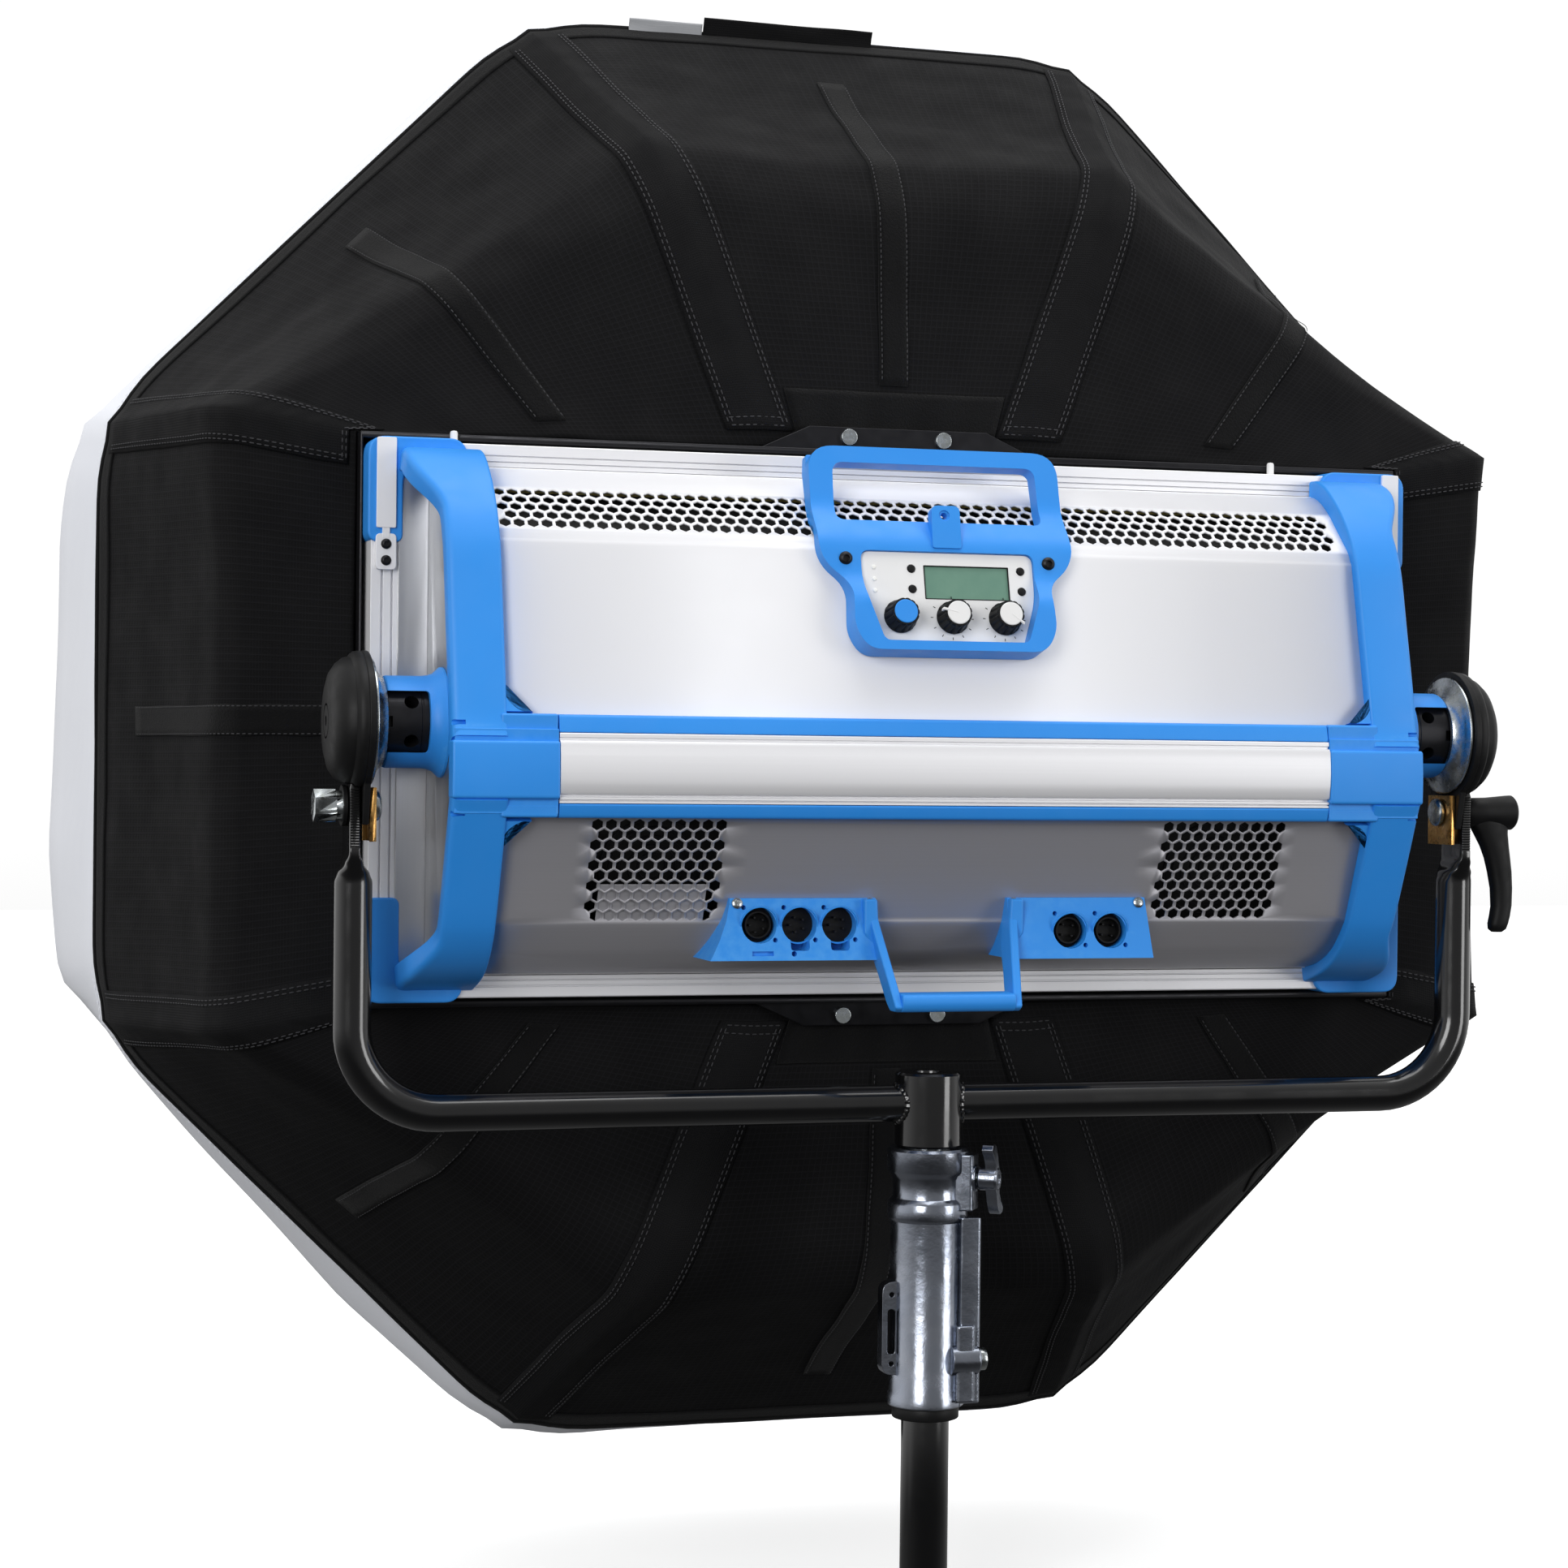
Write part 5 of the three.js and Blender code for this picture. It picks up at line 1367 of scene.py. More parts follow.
def make_pivots():
    for side, sign in (("right", 1), ("left", -1)):
        profile = [(310.2, 33.0), (311.6, 32.9), (313.4, 31.2), (315.6, 29.2), (319, 28.0), (323, 27.5),
                   (344.0, 27.5), (345.0, 27.1), (345.6, 26.2), (345.6, 24.2), (345.0, 23.9), (316, 23.8),
                   (310.2, 23.8)]
        build = Build().turned([(sign * x, r) for x, r in profile], "x", (0, 0, 0), 96, closed=True)
        window = Build().prism(rounded([(321, -18.2), (352, -18.2), (352, 18.2), (321, 18.2)], [2.5, 0, 0,
                                                                                                2.5]),
                               "y", -40, 0)
        if sign < 0:
            window = window.mirror_x()
        piece(build, f"pivot_tube_{side}", LOOK["blue"], "head", (f"pivot_housing_{side}",),
              bevel=0.7, segments=3, cut=[window])

        axle = Build().turned([(sign * x, r) for x, r in [(300, 0), (300, 22.6), (300.8, 23.3), (324, 23.3),
                              (324.4, 22.9), (325.2, 22.9), (325.6, 23.3), (346, 23.3), (346.2, 22.4),
                                                          (347.6, 22.4),
                              (347.6, 0)]], "x", (0, 0, 0), 72)
        holes = []
        for angle in (30, -30):
            drill = Build().turned([(10, 4.3), (30, 4.3)], "z", (0, 0, 0), 28)
            drill.moved(Matrix.Translation((sign * 331.5, 0, 0)) @ Matrix.Rotation(math.radians(90 - angle),
                                                                                   4, "X"))
            holes.append(drill)
        notch = Build().box(sign * 343, sign * 350, -30, -18, -3.2, 3.2)
        piece(axle, f"pivot_shaft_{side}", LOOK["black_metal"], "head",
              (f"pivot_axle_{side}",),
              bevel=0.35, segments=2, cut=holes + [notch])
        cone = [(345.4, 24.6), (346.0, 26.6), (347.0, 27.4), (349.4, 29.6), (351.6, 33.4), (352.6, 37.4),
                (353.2, 38.2), (354.4, 38.4), (354.4, 24.6)]
        build = Build().turned([(sign * x, r) for x, r in cone], "x", (0, 0, 0), 96, closed=True)
        piece(build, f"friction_cone_{side}", LOOK["steel"], "head", bevel=0.3, segments=2)


make_bumpers()
make_corners()
make_end_plates()
make_pivots()

# ---------------------------------------------------------------- control handle and panel
PANEL_U = Vector((1, 0, 0))
PANEL_V = Vector((0, math.sin(PANEL_LEAN), math.cos(PANEL_LEAN)))
PANEL_N = Vector((0, -math.cos(PANEL_LEAN), math.sin(PANEL_LEAN)))
PLATE_FACE = 8.0
KNOBS = (("knob_intensity", "dial_intensity", -33, "blue"), ("knob_colour", "dial_colour", 1,
                                                             "white_plastic"),
         ("knob_tint", "dial_tint", 35, "white_plastic"))
KNOB_V = 68.0
BUTTONS = (("button_menu", "key_menu", -23.4, 99.2), ("button_back", "key_back", -23.4, 86.2),
           ("button_mode", "key_mode", 48, 99.2), ("button_preset", "key_preset", 48, 86.2))


def on_panel(u, v, n):
    return Vector((0, PANEL_REAR, 0)) + PANEL_U * u + PANEL_V * v + PANEL_N * n


def panel_matrix(u, v, n):
    m = Matrix((PANEL_U, PANEL_V, PANEL_N)).transposed().to_4x4()
    m.translation = on_panel(u, v, n)
    return m


def handle_front(v):
    """How far the handle's front stands off the panel plane: a guard below, a loop set back above."""
    guard = 8.5 * (1 - ease(v, 74, 97))
    back = 13.0 * ease(v, 112, 146)
    return 10.2 + guard - back


def make_control_handle():
    outline = rounded([(-57, 44.5), (57, 44.5), (65.5, 58), (64.0, 88), (82.5, 104), (82, 181), (-82, 181),
                       (-82.5, 104), (-64.0, 88), (-65.5, 58)], [12, 12, 14, 10, 16, 17, 17, 16, 10, 14], 7)
    window = rounded([(-67.5, 131.5), (67.5, 131.5), (66.5, 170.5), (-66.5, 170.5)], [6, 6, 7, 7], 6)
    opening = rounded([(-46.5, 50.4), (46.5, 50.4), (56.2, 80), (56.2, 109.8), (-56.2, 109.8), (-56.2, 80)],
                      [4, 4, 8, 6, 6, 8], 6)
    grid = [(u, v) for u in np.arange(-80, 81, 5.0) for v in np.arange(47, 180, 5.0)]

    def clear(p):
        gap = min(math.hypot(p[0] - q[0], p[1] - q[1]) for q in outline + window + opening)
        return gap > 2.5 and within(p, outline) and not within(p, window) and not within(p, opening)

    dense = []
    for poly in (outline, window, opening):
        fine = []
        for a, b in zip(poly, poly[1:] + poly[:1]):
            count = max(1, int(math.hypot(b[0] - a[0], b[1] - a[1]) / 5))
            fine += [lerp2(a, b, k / count) for k in range(count)]
        dense.append(fine)
    pts, tris = triangulate(dense[0], dense[1:], [p for p in grid if clear(p)])
    bm = bmesh.new()
    top = [bm.verts.new(on_panel(u, v, handle_front(v))) for u, v in pts]
    low = [bm.verts.new(on_panel(u, v, handle_front(v) - 11.5 if v > 128 else 0.6)) for u, v in pts]
    edges = {}
    for a, b, c in tris:
        bm.faces.new((top[a], top[b], top[c]))
        bm.faces.new((low[c], low[b], low[a]))
        for i, j in ((a, b), (b, c), (c, a)):
            edges[(i, j)] = edges.get((j, i), 0)
    for i, j in list(edges):
        if (j, i) not in edges:
            bm.faces.new((top[j], top[i], low[i], low[j]))
    build = Build()
    bm.verts.index_update()
    build.add([v.co[:] for v in bm.verts], [tuple(v.index for v in f.verts) for f in bm.faces])
    bm.free()
    piece(build, "control_loop", LOOK["blue"], "head", ("control_handle",), bevel=2.2,
          segments=4, angle=48)

    legs = Build()
    for sign in (-1, 1):
        rings = []
        for v, depth in ((134, 3), (142, 9), (168, 12), (178, 9)):
            x0, x1 = 69.5, 80.5
            n = handle_front(v) - 9
            rings.append([tuple(on_panel(sign * x, v, z)) for x, z in ((x0, n), (x1, n), (x1, n - depth),
                                                                       (x0, n - depth))])
        legs.loft(rings)
    piece(legs, "control_loop_feet", LOOK["blue"], "head", bevel=1.6, segments=3)

    tab = Build().prism(rounded([(-9.5, 112), (9.5, 112), (9.8, 139.5), (-8.5, 139.5)], [2, 2, 4, 4]), "z",
                        -4.5, 3.2)
    tab.moved(panel_matrix(0, 0, 8.2))
    hole = Build().turned([(-20, 2.1), (20, 2.1)], "z", (0, 0, 0), 24).moved(panel_matrix(-0.5, 133, 8))
    cup = Build().turned([(2.4, 3.4), (20, 3.4)], "z", (0, 0, 0), 24).moved(panel_matrix(-0.5, 133, 8))
    piece(tab, "control_loop_tab", LOOK["blue"], "head", bevel=1.2, segments=3,
          cut=[hole, cup])

    screws = Build()
    for u in (-66, 66):
        button_screw(screws, tuple(on_panel(u, 104, 10.0)), 4.3)
    piece(screws, "control_loop_screws", LOOK["black_metal"], "head", bevel=0.15, segments=1)


def make_panel():
    plate = rounded([(-46.5, 50.6), (46.5, 50.6), (56.0, 80), (56.0, 109.6), (-56.0, 109.6), (-56.0, 80)],
                    [4, 4, 8, 6, 6, 8], 6)
    build = Build().prism(plate, "z", 4.6, PLATE_FACE).moved(panel_matrix(0, 0, 0))
    cutters = []
    for _, _, u, _ in KNOBS:
        cutters.append(Build().turned([(0, 3.4), (20, 3.4)], "z", (0, 0, 0),
                                      24).moved(panel_matrix(u, KNOB_V, 0)))
    for _, _, u, v in BUTTONS:
        cutters.append(Build().turned([(0, 2.75), (20, 2.75)], "z", (0, 0, 0),
                                      24).moved(panel_matrix(u, v, 0)))
    screen = Build().prism(rounded([(-15.5, 80), (40, 80), (40, 101.5), (-15.5, 101.5)], 0.8), "z", 0, 20)
    cutters.append(screen.moved(panel_matrix(0, 0, 0)))
    piece(build, "panel_plate", LOOK["white_plastic"], "head", ("control_panel",), bevel=0.35,
          segments=2, cut=cutters)
    lens = Build().prism([(-15.3, 80.2), (39.8, 80.2), (39.8, 101.3), (-15.3, 101.3)], "z", 5.0, 7.1)
    piece(lens.moved(panel_matrix(0, 0, 0)), "display_lens", LOOK["display"], "head", ("display",),
          bevel=0.25, segments=2)
    rim = Build()
    for a, b, c, d in ((-15.4, 39.9, 79.9, 80.5), (-15.4, 39.9, 101.0, 101.6), (-15.5, -14.9, 80, 101.5),
                       (39.4, 40.0, 80, 101.5)):
        rim.prism([(a, c), (b, c), (b, d), (a, d)], "z", 6.6, 8.25)
    piece(rim.moved(panel_matrix(0, 0, 0)), "display_gasket", LOOK["black_plastic"], "head",
          bevel=0.12, segments=1)

    lamps = Build()
    for v in (99.6, 92.0, 84.6):
        lamps.turned([(PLATE_FACE - 1.5, 1.5), (PLATE_FACE + 0.15, 1.5), (PLATE_FACE + 0.5, 1.1),
                      (PLATE_FACE + 0.7, 0)], "z", (-47.7, v, 0), 20)
    piece(lamps.moved(panel_matrix(0, 0, 0)), "status_lamps", LOOK["frosted"], "head")
    marks = Build()
    for _, _, u, _ in KNOBS[1:]:
        for k in range(11):
            a = math.radians(-60 + 30 * k)
            start = len(marks.verts)
            marks.box(-0.22, 0.22, 12.3, 13.9, PLATE_FACE - 0.4, PLATE_FACE + 0.12)
            marks.moved(Matrix.Translation((u, KNOB_V, 0)) @ Matrix.Rotation(a + math.pi / 2 + 0.5, 4, "Z"),
                        start)
    piece(marks.moved(panel_matrix(0, 0, 0)), "dial_marks", LOOK["black_plastic"], "head")


def knob_skirt(build, top):
    """A dark ribbed skirt that stands on the panel."""
    ribs, sides = 14, 14 * 8
    rings = []
    for n, r, depth in ((PLATE_FACE + 0.9, 10.4, 0.0), (PLATE_FACE + 1.7, 10.6, 0.2), (PLATE_FACE + 2.6,
                                                                                       10.1, 0.9),
                        (top - 2.0, 9.0, 0.9), (top - 0.8, 8.8, 0.7), (top - 0.2, 8.4, 0.2)):
        ring = []
        for k in range(sides):
            a = TAU * k / sides
            wave = 0.5 + 0.5 * math.cos(ribs * a)
            rr = r - depth * (1 - min(1.0, wave * 2.2))
            ring.append((rr * math.cos(a), rr * math.sin(a), n))
        rings.append(ring)
    build.loft(rings)
    return build


def make_knobs():
    top = 21.3
    for name, body, u, look in KNOBS:
        skirt = knob_skirt(Build(), top).turned([(5.4, 2.9), (9.5, 2.9)], "z", (0, 0, 0), 24)
        if look != "blue":
            skirt.box(5.5, 9.2, -0.55, 0.55, top - 3, top - 0.1)
        turn = Matrix.Rotation({1: 2.9, 35: -0.65}.get(u, 0.0), 4, "Z")
        place = panel_matrix(u, KNOB_V, 0) @ turn
        piece(skirt.moved(place), f"{name}_skirt", LOOK["black_plastic"], body, (name,),
              bevel=0.15, segments=1, angle=50)
        cap = Build().turned([(top - 1.2, 7.4), (top + 0.1, 7.4), (top + 0.45, 7.0), (top + 0.5, 0)], "z",
                             (0, 0, 0), 48)
        piece(cap.moved(place), f"{name}_cap", LOOK[look], body, bevel=0.1, segments=1)
        if look != "blue":
            line = Build().box(0.4, 9.6, -0.3, 0.3, top + 0.2, top + 0.62)
            line.box(7.2, 10.2, -0.8, 0.8, top - 3.4, top + 0.3)
            piece(line.moved(place), f"{name}_pointer", LOOK["white_plastic"], body,
                  bevel=0.08,
                  segments=1)


def make_buttons():
    for name, body, u, v in BUTTONS:
        cap = Build().turned([(6.0, 2.3), (8.6, 2.3), (9.05, 2.05), (9.35, 1.3), (9.4, 0.7), (9.25, 0)], "z",
                             (0, 0, 0), 32)
        piece(cap.moved(panel_matrix(u, v, 0)), f"{name}_cap", LOOK["black_plastic"], body,
              (name,))


# ---------------------------------------------------------------- connector blocks and lower handle
SOCKETS = ((-118.3, -120.7, False), (-92.9, -120.7, True), (-67.4, -120.7, True), (83.2, -124.9, False),
           (110, -124.9, False))
FACE_TOP, FACE_LOW = (-20.5, -104.5), (-29.5, -142.0)


def face_y(z):
    share = (z - FACE_TOP[1]) / (FACE_LOW[1] - FACE_TOP[1])
    return FACE_TOP[0] + (FACE_LOW[0] - FACE_TOP[0]) * share


def make_connectors():
    """Two raised blocks of round sockets, with their rims, inserts and screws."""
    lean = math.atan2(FACE_TOP[0] - FACE_LOW[0], FACE_TOP[1] - FACE_LOW[1])
    lower = Profile(LOWER_LINE)

    def cover_y(z):
        return lower.at(lower.where_z(z))[0]

    for name, x0, x1, slant in (("left", -136, -43, -14.0), ("right", 43, 135, 3.0)):
        levels = [FACE_TOP[1], -108, -118, -130, -138, FACE_LOW[1]]
        rings = []
        for z in levels:
            share = (FACE_TOP[1] - z) / (FACE_TOP[1] - FACE_LOW[1])
            a = x0 + (slant * share ** 1.6 if slant < 0 else 0)
            b = x1 + (slant * share if slant > 0 else 0)
            y, back = face_y(z), cover_y(z) + 0.6
            rings.append([(a, y, z), (b, y, z), (b, back, z), (a, back, z)])
        build = Build().loft(rings)
        cutters = []
        for x, z, keyed in SOCKETS:
            if (x < 0) != (x0 < 0):
                continue
            floor = face_y(z) + 14
            cutters.append(Build().turned([(face_y(z) - 16, 11.0), (floor, 11.0)], "y", (x, 0, z), 48))
            if keyed:
                key = rounded([(x - 6, z - 15.6), (x + 6, z - 15.6), (x + 6, z - 4), (x - 6, z - 4)], 2.5)
                cutters.append(Build().prism(key, "y", face_y(z) - 16, floor))
            for dx, dz in ((9.8, -9.0), (-9.2, 10.6)):
                pin = Build().turned([(-3, 1.5), (6, 1.5)], "y", (x + dx, face_y(z + dz) + 1.2, z + dz), 16)
                cutters.append(pin)
        if x0 < 0:
            cutters.append(Build().box(-123.5, -110, face_y(-137) - 4, face_y(-137) + 2.4, -139.2, -136.4))
            cutters.append(Build().turned([(-3, 1.7), (6, 1.7)], "y", (-97, face_y(-138) + 1.0, -138), 16))
        piece(build, f"socket_block_{name}", LOOK["blue"], "head",
                   ("connector_handle",) if x0 < 0 else (), bevel=1.3, segments=3, angle=40, cut=cutters)
    rims = Build()
    inside = Build()
    for x, z, keyed in SOCKETS:
        y = face_y(z)
        start = len(rims.verts)
        rims.turned([(0.6, 11.0), (-0.5, 11.2), (-0.5, 12.0), (0.6, 12.2)], "y", (0, 0, 0), 48, closed=True)
        rims.moved(Matrix.Translation((x, y, z)) @ Matrix.Rotation(lean, 4, "X"), start)
        depth = 8.6
        inside.turned([(y + depth, 0), (y + depth, 12.4), (y + depth + 2, 12.4), (y + depth + 2, 0)], "y",
                      (x, 0, z), 40)
        if not keyed:
            inside.turned([(y + 2.6, 8.4), (y + depth + 1, 8.4), (y + depth + 1, 7.2), (y + 2.6, 7.2)], "y",
                          (x, 0, z),
                          40, closed=True)
        for k in range(5 if x < 0 else 4):
            a = math.radians(40 + k * (72 if x < 0 else 90))
            inside.turned([(y + 4, 0), (y + 4, 0.8), (y + depth + 1, 0.8), (y + depth + 1, 0)], "y",
                          (x + 4.6 * math.cos(a), 0, z + 4.6 * math.sin(a)), 10)
    piece(rims, "socket_rims", LOOK["blue"], "head", bevel=0.2, segments=2)
    piece(inside, "socket_inserts", LOOK["black_plastic"], "head", bevel=0.3, segments=1)
    screws = Build()
    for x in (-131.5, -47, 47, 130.5):
        cross_screw(screws, (x, face_y(-107.6) - 0.2, -107.6), 3.4, -lean)
    piece(screws, "socket_block_screws", LOOK["steel"], "head", bevel=0.12, segments=1)


def make_lower_handle():
    """The carrying loop between the connector blocks: two deep gusset arms and a bar."""
    arms = Build()
    side = [(-20.8, -104.6), (-29, -122), (-44, -148), (-56.5, -169.5), (-53, -172.2), (-43, -172.4),
            (-38, -168), (-27, -150), (-17, -136.5), (-11.2, -118.5), (-14.5, -106)]
    for sign in (-1, 1):
        rings = []
        for y, z in side:
            share = (-104 - z) / 68
            x = 44.5 - 9.5 * share
            rings.append(((sign * (x + 5.6), y, z), (sign * x, y, z)))
        n = len(side)
        verts = [a for a, _ in rings] + [b for _, b in rings]
        faces = [tuple(range(n)), tuple(reversed(range(n, 2 * n)))]
        faces += [(i, (i + 1) % n, n + (i + 1) % n, n + i) for i in range(n)]
        arms.add(verts, faces)
    piece(arms, "lower_handle_arms", LOOK["blue"], "head", bevel=1.5, segments=3, angle=40)
    bar = Build().prism(rounded([(-56.8, -161.6), (-40, -160.8), (-38.5, -170), (-42.5, -172.6),
                                 (-54.5, -172.4),
                                 (-57.6, -168)], 3.2), "x", -36.5, 36.5)
    piece(bar, "lower_handle_bar", LOOK["blue"], "head", bevel=0.8)
    webs = Build()
    for sign in (-1, 1):
        webs.prism([(sign * 43.5, -104.8), (sign * 52, -104.8), (sign * 52, -126), (sign * 41.5, -141)], "y",
                   -27, -14)
    piece(webs, "lower_handle_webs", LOOK["blue"], "head", bevel=1.6)


make_control_handle()
make_panel()
make_knobs()
make_buttons()
make_connectors()
make_lower_handle()

# ---------------------------------------------------------------- yoke, pivot plates and tilt lever
SPAN, BAR_Z, BEND, TUBE = 362.0, -233.5, 52.0, 11.5
HUB_RADIUS, DISC_RADIUS, BOLT_BORE = 21.0, 42.0, 4.3
CRIMP_LOW, CRIMP_HIGH, ARM_END = -96.0, -77.0, -37.0
BOLT_Z = -50.0


def power(value, square):
    return math.copysign(abs(value) ** square, value)


def arm_ring(centre, angle, rx, ry, square=1.0, sides=48):
    """A ring round the tube's path; angle is the path's slope, 0 along the bar, a quarter turn up the arm."""
    normal = Vector((math.sin(angle), 0, -math.cos(angle)))
    ring = []
    for k in range(sides):
        a = TAU * k / sides
        ring.append(tuple(Vector(centre) + normal * rx * power(math.cos(a), square)
                          + Vector((0, 1, 0)) * ry * power(math.sin(a), square)))
    return ring


def yoke_half_rings():
    """From the middle of the bar, round the bend, up the arm and through the crimp to the serrated end."""
    rings = [arm_ring((x, 0, BAR_Z), 0, TUBE, TUBE) for x in (0.0, 150.0, SPAN - BEND - 4)]
    for angle in np.linspace(0, math.pi / 2, 15):
        centre = (SPAN - BEND + BEND * math.sin(angle), 0, BAR_Z + BEND * (1 - math.cos(angle)))
        rings.append(arm_ring(centre, angle, TUBE, TUBE))
    up = math.pi / 2
    for z in np.linspace(CRIMP_LOW, CRIMP_HIGH, 16):
        share = ease(z, CRIMP_LOW, CRIMP_HIGH)
        fold = 0.5 * math.sin(math.pi * share) * math.sin(z * 0.9)
        cx = SPAN + 1.2 * share
        rings.append(arm_ring((cx, 0, z), up, TUBE + (3.4 - TUBE) * share + fold, TUBE + (15 - TUBE) * share,
                              1 - 0.78 * share))
    teeth_low, tooth = CRIMP_HIGH + 2, 0.8
    for k in range(int((ARM_END - 1.5 - teeth_low) / tooth)):
        rings.append(arm_ring((SPAN + 1.2, 0, teeth_low + k * tooth), up, 3.4, 15.0 - 0.55 * (k % 2), 0.22))
    rings.append(arm_ring((SPAN + 1.2, 0, ARM_END), up, 2.9, 14.0, 0.22))
    return rings


def weld_bead(build, hub, sign):
    """A rippled bead where the bar meets the hub."""
    path, radii = [], []
    for k in range(97):
        a = TAU * k / 96
        y = TUBE * math.sin(a)
        path.append((sign * math.sqrt(hub ** 2 - y ** 2), y, BAR_Z + TUBE * math.cos(a)))
        radii.append(1.7 + 0.25 * math.sin(a * 26))
    build.tube(path, radii, sides=10)


def make_yoke():
    """The bent tube with its hub, weld beads and the spigot that sits in the receiver."""
    right = yoke_half_rings()
    left = [[(-x, y, z) for x, y, z in ring] for ring in reversed(right[1:])]
    bore = Build().turned([(340, BOLT_BORE), (400, BOLT_BORE)], "x", (0, 0, BOLT_Z), 24)
    piece(Build().loft(left + right), "yoke_tube", LOOK["black_paint"], "yoke",
          ("yoke_frame",),
          angle=35, cut=[bore, bore.mirror_x()])
    hub = Build().turned([(-260.4, 0), (-260.4, 19.6), (-259, 21), (-215.4, 21), (-214, 19.6), (-214, 8.4),
                          (-215, 8), (-228, 8), (-228, 0)], "z", (0, 0, 0), 64)
    piece(hub, "yoke_hub", LOOK["black_paint"], "yoke")
    spigot = Build().turned([(-348, 0), (-348, 13), (-346, 14), (-259, 14), (-259, 0)], "z", (0, 0, 0), 48)
    piece(spigot, "yoke_spigot", LOOK["steel"], "yoke")
    welds = Build()
    for sign in (-1, 1):
        weld_bead(welds, HUB_RADIUS, sign)
    piece(welds, "yoke_welds", LOOK["black_paint"], "yoke")


def make_pivot_plates():
    """On each side a disc with a flat foot, and a domed cover cut away for the arm's end."""
    for side, sign in (("right", 1), ("left", -1)):
        arc = [(DISC_RADIUS * math.cos(a), DISC_RADIUS * math.sin(a)) for a in np.linspace(-math.pi / 3,
                                                                                       math.pi * 4 / 3, 64)]
        disc = Build().prism(arc + [(-15, -61), (15, -61)], "x", 355.1, 359.2)
        dome = Build().turned([(358.4, 0), (358.4, 41.2), (360.2, 41.8), (363.4, 41.4), (365.0, 40.2),
                               (366.2, 38.4),
                               (369.6, 37.6), (373.6, 34.4), (376.8, 29.6), (378.6, 23.0), (379.0, 14.0),
                               (379.0, 0)],
                              "x", (0, 0, 0), 72)
        groove = Build().turned([(377.6, 9.4), (380, 9.4), (380, 10.6), (377.6, 10.6)], "x", (0, 0, 0), 48,
                                closed=True)
        dot = Build().turned([(376.4, 3.0), (382, 3.0)], "x", (0, 0, 0), 24)
        bore = Build().turned([(340, BOLT_BORE), (400, BOLT_BORE)], "x", (0, 0, BOLT_Z), 24)
        notch = Build().box(359.3, 400, -15.8, 15.8, -80, -36.5)
        parts = [disc, dome, groove, dot, bore, notch]
        if sign < 0:
            parts = [p.mirror_x() for p in parts]
        disc, dome, groove, dot, bore, notch = parts
        piece(disc, f"pivot_disc_{side}", LOOK["black_plastic"], "yoke",
              (f"yoke_plate_{side}",),
              bevel=0.7, cut=[bore])
        piece(dome, f"pivot_dome_{side}", LOOK["black_plastic"], "yoke", angle=40,
              cut=[groove, dot, notch])


def make_tilt_hardware():
    for side in ("right", "left"):
        dress(f"brass_shoe_{side}", LOOK["brass"], 0.4)
        dress(f"tilt_bolt_{side}", LOOK["steel"], 0.35)
    washers = Build()
    washers.turned([(-369.6, 4.2), (-369.6, 12.2), (-367.0, 12.2), (-367.0, 4.2)], "x", (0, 0, BOLT_Z), 40,
                   closed=True)
    piece(washers, "tilt_washer", LOOK["black_plastic"], "yoke", bevel=0.3, segments=2)


# Lever sections: height, centre across, half width across, half depth.
LEVER = ((-52, 386.0, 14.0, 8.2), (-58, 387.0, 13.4, 8.0), (-63.8, 388.6, 11.6, 7.7), (-72, 391.4, 9.6, 7.4),
         (-80, 393.6, 8.5, 7.1), (-89, 395.4, 7.9, 6.8), (-100, 396.8, 7.1, 6.5), (-111.6, 397.0, 6.7, 6.2),
         (-118, 396.0, 6.7, 6.1), (-123, 394.8, 6.6, 6.0), (-126.6, 394.2, 5.8, 5.2), (-128.6, 394.0, 3.4,
                                                                                       3.0))


def make_lever():
    arm = Build()
    rings = []
    for z, cx, rx, ry in LEVER:
        rings.append([(cx + rx * power(math.cos(TAU * k / 40), 0.82), ry * power(math.sin(TAU * k / 40),
                                                                                 0.82), z)
                      for k in range(40)])
    arm.loft(rings)
    piece(arm, "tilt_lever_arm", LOOK["black_plastic"], "lock_lever", ("tilt_lever",),
          angle=50)
    hub = Build().turned([(367.2, 0), (367.2, 8.6), (368.2, 9.4), (384, 9.8), (399, 11.2), (402.4, 11.4),
                          (403.6, 10.4),
                          (404.0, 8.4), (404.0, 5.2), (401.8, 4.8), (401.8, 0)], "x", (0, 0, BOLT_Z), 56)
    piece(hub, "tilt_lever_hub", LOOK["black_plastic"], "lock_lever", angle=40)
    screw = Build()
    button_screw(screw, (401.8, 0, BOLT_Z), 4.2, "x", 1)
    piece(screw, "tilt_lever_screw", LOOK["steel"], "lock_lever", bevel=0.12, segments=1)


make_yoke()
make_pivot_plates()
make_tilt_hardware()
make_lever()

# ---------------------------------------------------------------- receiver, its T-handle and the riser
LOW_Z, SCREW_Z = -421.7, -279.0          # the receiver's lower end and the clamp screw, mm from the tilt axis
SCREW_TURN = math.radians(-35)


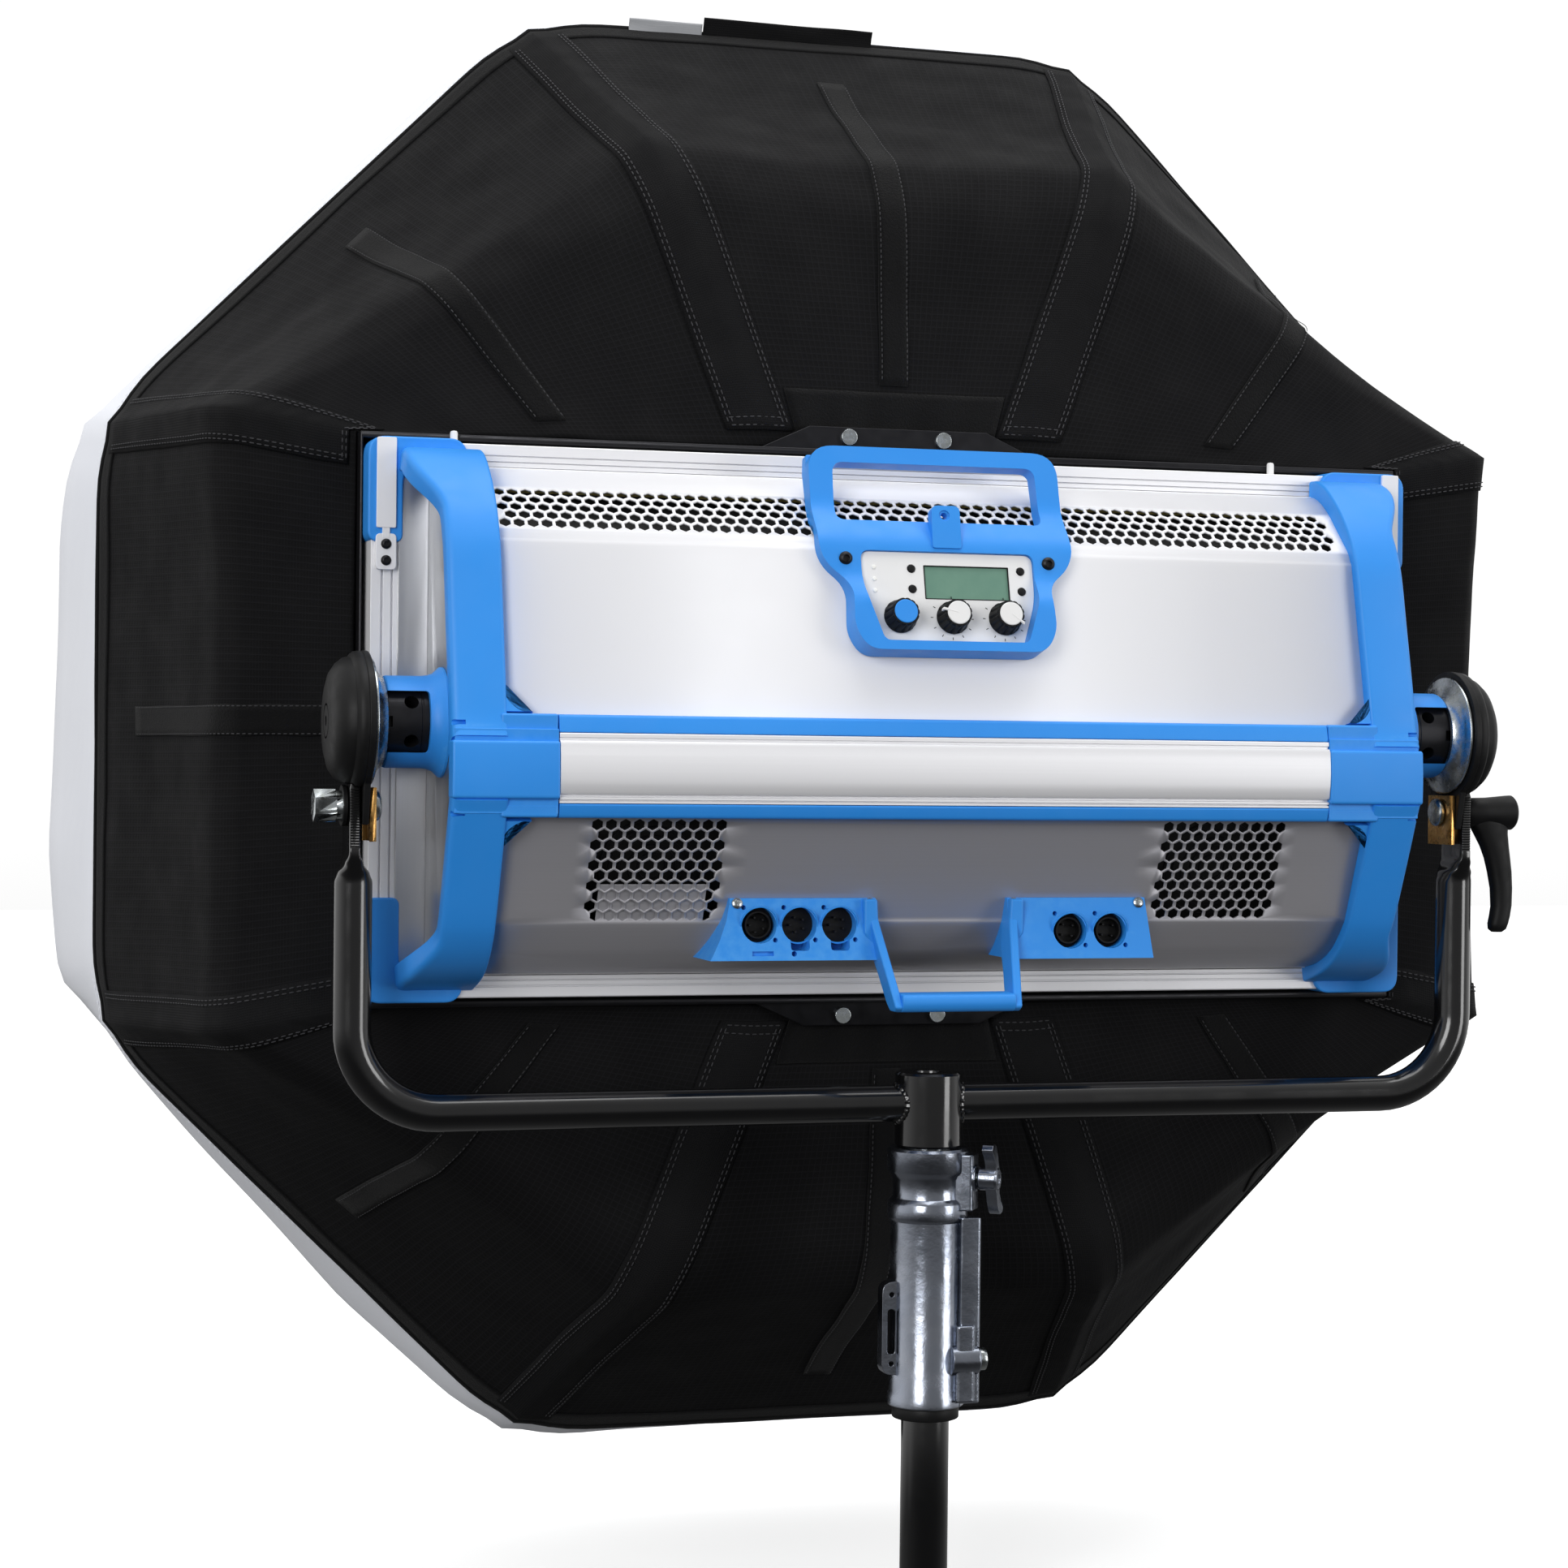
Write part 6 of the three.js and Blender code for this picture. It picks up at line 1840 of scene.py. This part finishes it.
def make_receiver():
    """The cast receiver: barrel, lug, lower pad, loop ear and the two bosses."""
    barrel = [(LOW_Z, 0), (LOW_Z, 23.2), (LOW_Z + 0.8, 24), (LOW_Z + 6.2, 24), (LOW_Z + 8.6, 23),
              (-306.6, 23),
              (-305, 24.6), (-303.6, 25), (-295.6, 25), (-294, 24.2), (-292, 22.4), (-290, 22),
              (-280.4, 22), (-278, 23),
              (-275.8, 25), (-274.6, 25.5), (-262.6, 25.5), (-261, 24.2), (-261, 0)]
    body = Build().turned(barrel, "z", (0, 0, 0), 96)
    bore = Build().turned([(-356, 14.3), (-250, 14.3)], "z", (0, 0, 0), 64)
    seat = Build().turned([(-440, 15.3), (-371, 15.3)], "z", (0, 0, 0), 64)
    slot = Build().box(14, 40, -17.9, -16.7, LOW_Z - 2, -330)
    piece(body, "receiver_barrel", LOOK["cast_alloy"], "stand_riser", ("receiver_casting",),
          bevel=0.5, cut=[bore, seat, slot])
    castings = Build()
    castings.prism(rounded([(15, -21.5), (28.4, -21.5), (28.4, -13), (15, -13)], 2.2), "z", LOW_Z + 3, -303)
    piece(castings, "receiver_lug", LOOK["cast_alloy"], "stand_riser", bevel=1.1)
    pad = Build()
    pad.prism(rounded([(12, -25), (24.4, -25), (24.4, -12), (12, -12)], 3.0), "z", LOW_Z + 4, LOW_Z + 52)
    piece(pad, "receiver_pad", LOOK["cast_alloy"], "stand_riser", bevel=1.6)
    ear = Build().prism(rounded([(-31, LOW_Z + 20), (-14, LOW_Z + 20), (-14, LOW_Z + 78),
                                 (-31, LOW_Z + 78)], 7),
                        "y", -7, 3)
    window = Build().prism(rounded([(-27.6, LOW_Z + 33), (-22.6, LOW_Z + 33), (-22.6, LOW_Z + 61),
                                    (-27.6, LOW_Z + 61)], 2.4), "y", -12, 8)
    holes = [Build().turned([(-12, 1.6), (8, 1.6)], "y", (-25, 0, LOW_Z + dz), 20) for dz in (27, 70)]
    piece(ear, "receiver_ear", LOOK["cast_alloy"], "stand_riser", bevel=1.1, cut=[window,
                                                                                                *holes])
    boss = Build().prism(rounded([(10, -8), (31, -8), (31, 8), (10, 8)], 2.4), "z", -299, -264)
    boss.turned([(30, 8.6), (32.4, 8.4), (32.4, 0)], "x", (0, 0, SCREW_Z), 40)
    boss.moved(Matrix.Rotation(SCREW_TURN, 4, "Z"))
    piece(boss, "receiver_boss", LOOK["cast_alloy"], "stand_riser", bevel=1.0)
    bolt = Build().turned([(9.5, 0), (9.5, 9.5), (26.6, 9.5), (28.0, 8.4), (28.0, 0)], "x",
                          (0, -18, LOW_Z + 30), 48)
    piece(bolt, "receiver_bolt_boss", LOOK["cast_alloy"], "stand_riser", bevel=0.4)
    dress("receiver_clamp_bolt", LOOK["steel"], 0.4)


def make_t_handle():
    """A die-cast wing: a flat S with a round hub on the clamp screw."""
    side_a, side_b = [], []
    for z in np.linspace(-25, 25, 33):
        share = abs(z) / 25
        middle = 3.4 * math.sin(math.pi * z / 25)
        half = (3.3 + 2.3 * math.exp(-(z / 6) ** 2) + 1.5
                * share ** 2) * math.sqrt(max(0.0, 1 - share ** 14)) + 0.05
        side_a.append((middle + half, z))
        side_b.append((middle - half, z))
    turn = (Matrix.Translation((0, 0, SCREW_Z)) @ Matrix.Rotation(SCREW_TURN, 4, "Z")
            @ Matrix.Rotation(math.radians(28), 4, "X"))
    wing = Build().prism(side_a + side_b[::-1], "x", 38.4, 45.2).moved(turn)
    piece(wing, "t_handle_wing", LOOK["cast_alloy"], "receiver_screw", ("t_handle",), bevel=1.5)
    hub = Build().turned([(33.6, 0), (33.6, 6.6), (34.4, 7.4), (44.6, 7.4), (46.0, 6.2), (46.0, 3.2),
                          (45.0, 3.0),
                          (45.0, 0)], "x", (0, 0, 0), 48).moved(turn)
    piece(hub, "t_handle_hub", LOOK["cast_alloy"], "receiver_screw", bevel=0.3)
    thread = [(18.0, 0), (18.0, 3.4)]
    for k in range(12):
        thread += [(19.0 + k * 1.25, 3.4), (19.6 + k * 1.25, 4.0)]
    thread += [(34.4, 3.6), (34.4, 0)]
    piece(Build().turned(thread, "x", (0, 0, 0), 32).moved(turn), "t_handle_screw", LOOK["steel"],
          "receiver_screw")


def make_riser():
    dress("riser_tube", LOOK["black_paint"], 0.4)
    dress("riser_collar", LOOK["black_plastic"], 0.8)
    dress("riser_end_plug", LOOK["black_plastic"], 0.6)


def dress_the_rest():
    """The inner parts of the head that show only from the front or through gaps."""
    dress("heat_sink", LOOK["black_metal"], 0.3)
    dress("led_board", LOOK["led_phosphor"], 0.2)
    dress("light_diffuser", LOOK["frosted"], 0.3)


make_receiver()
make_t_handle()
make_riser()
dress_the_rest()
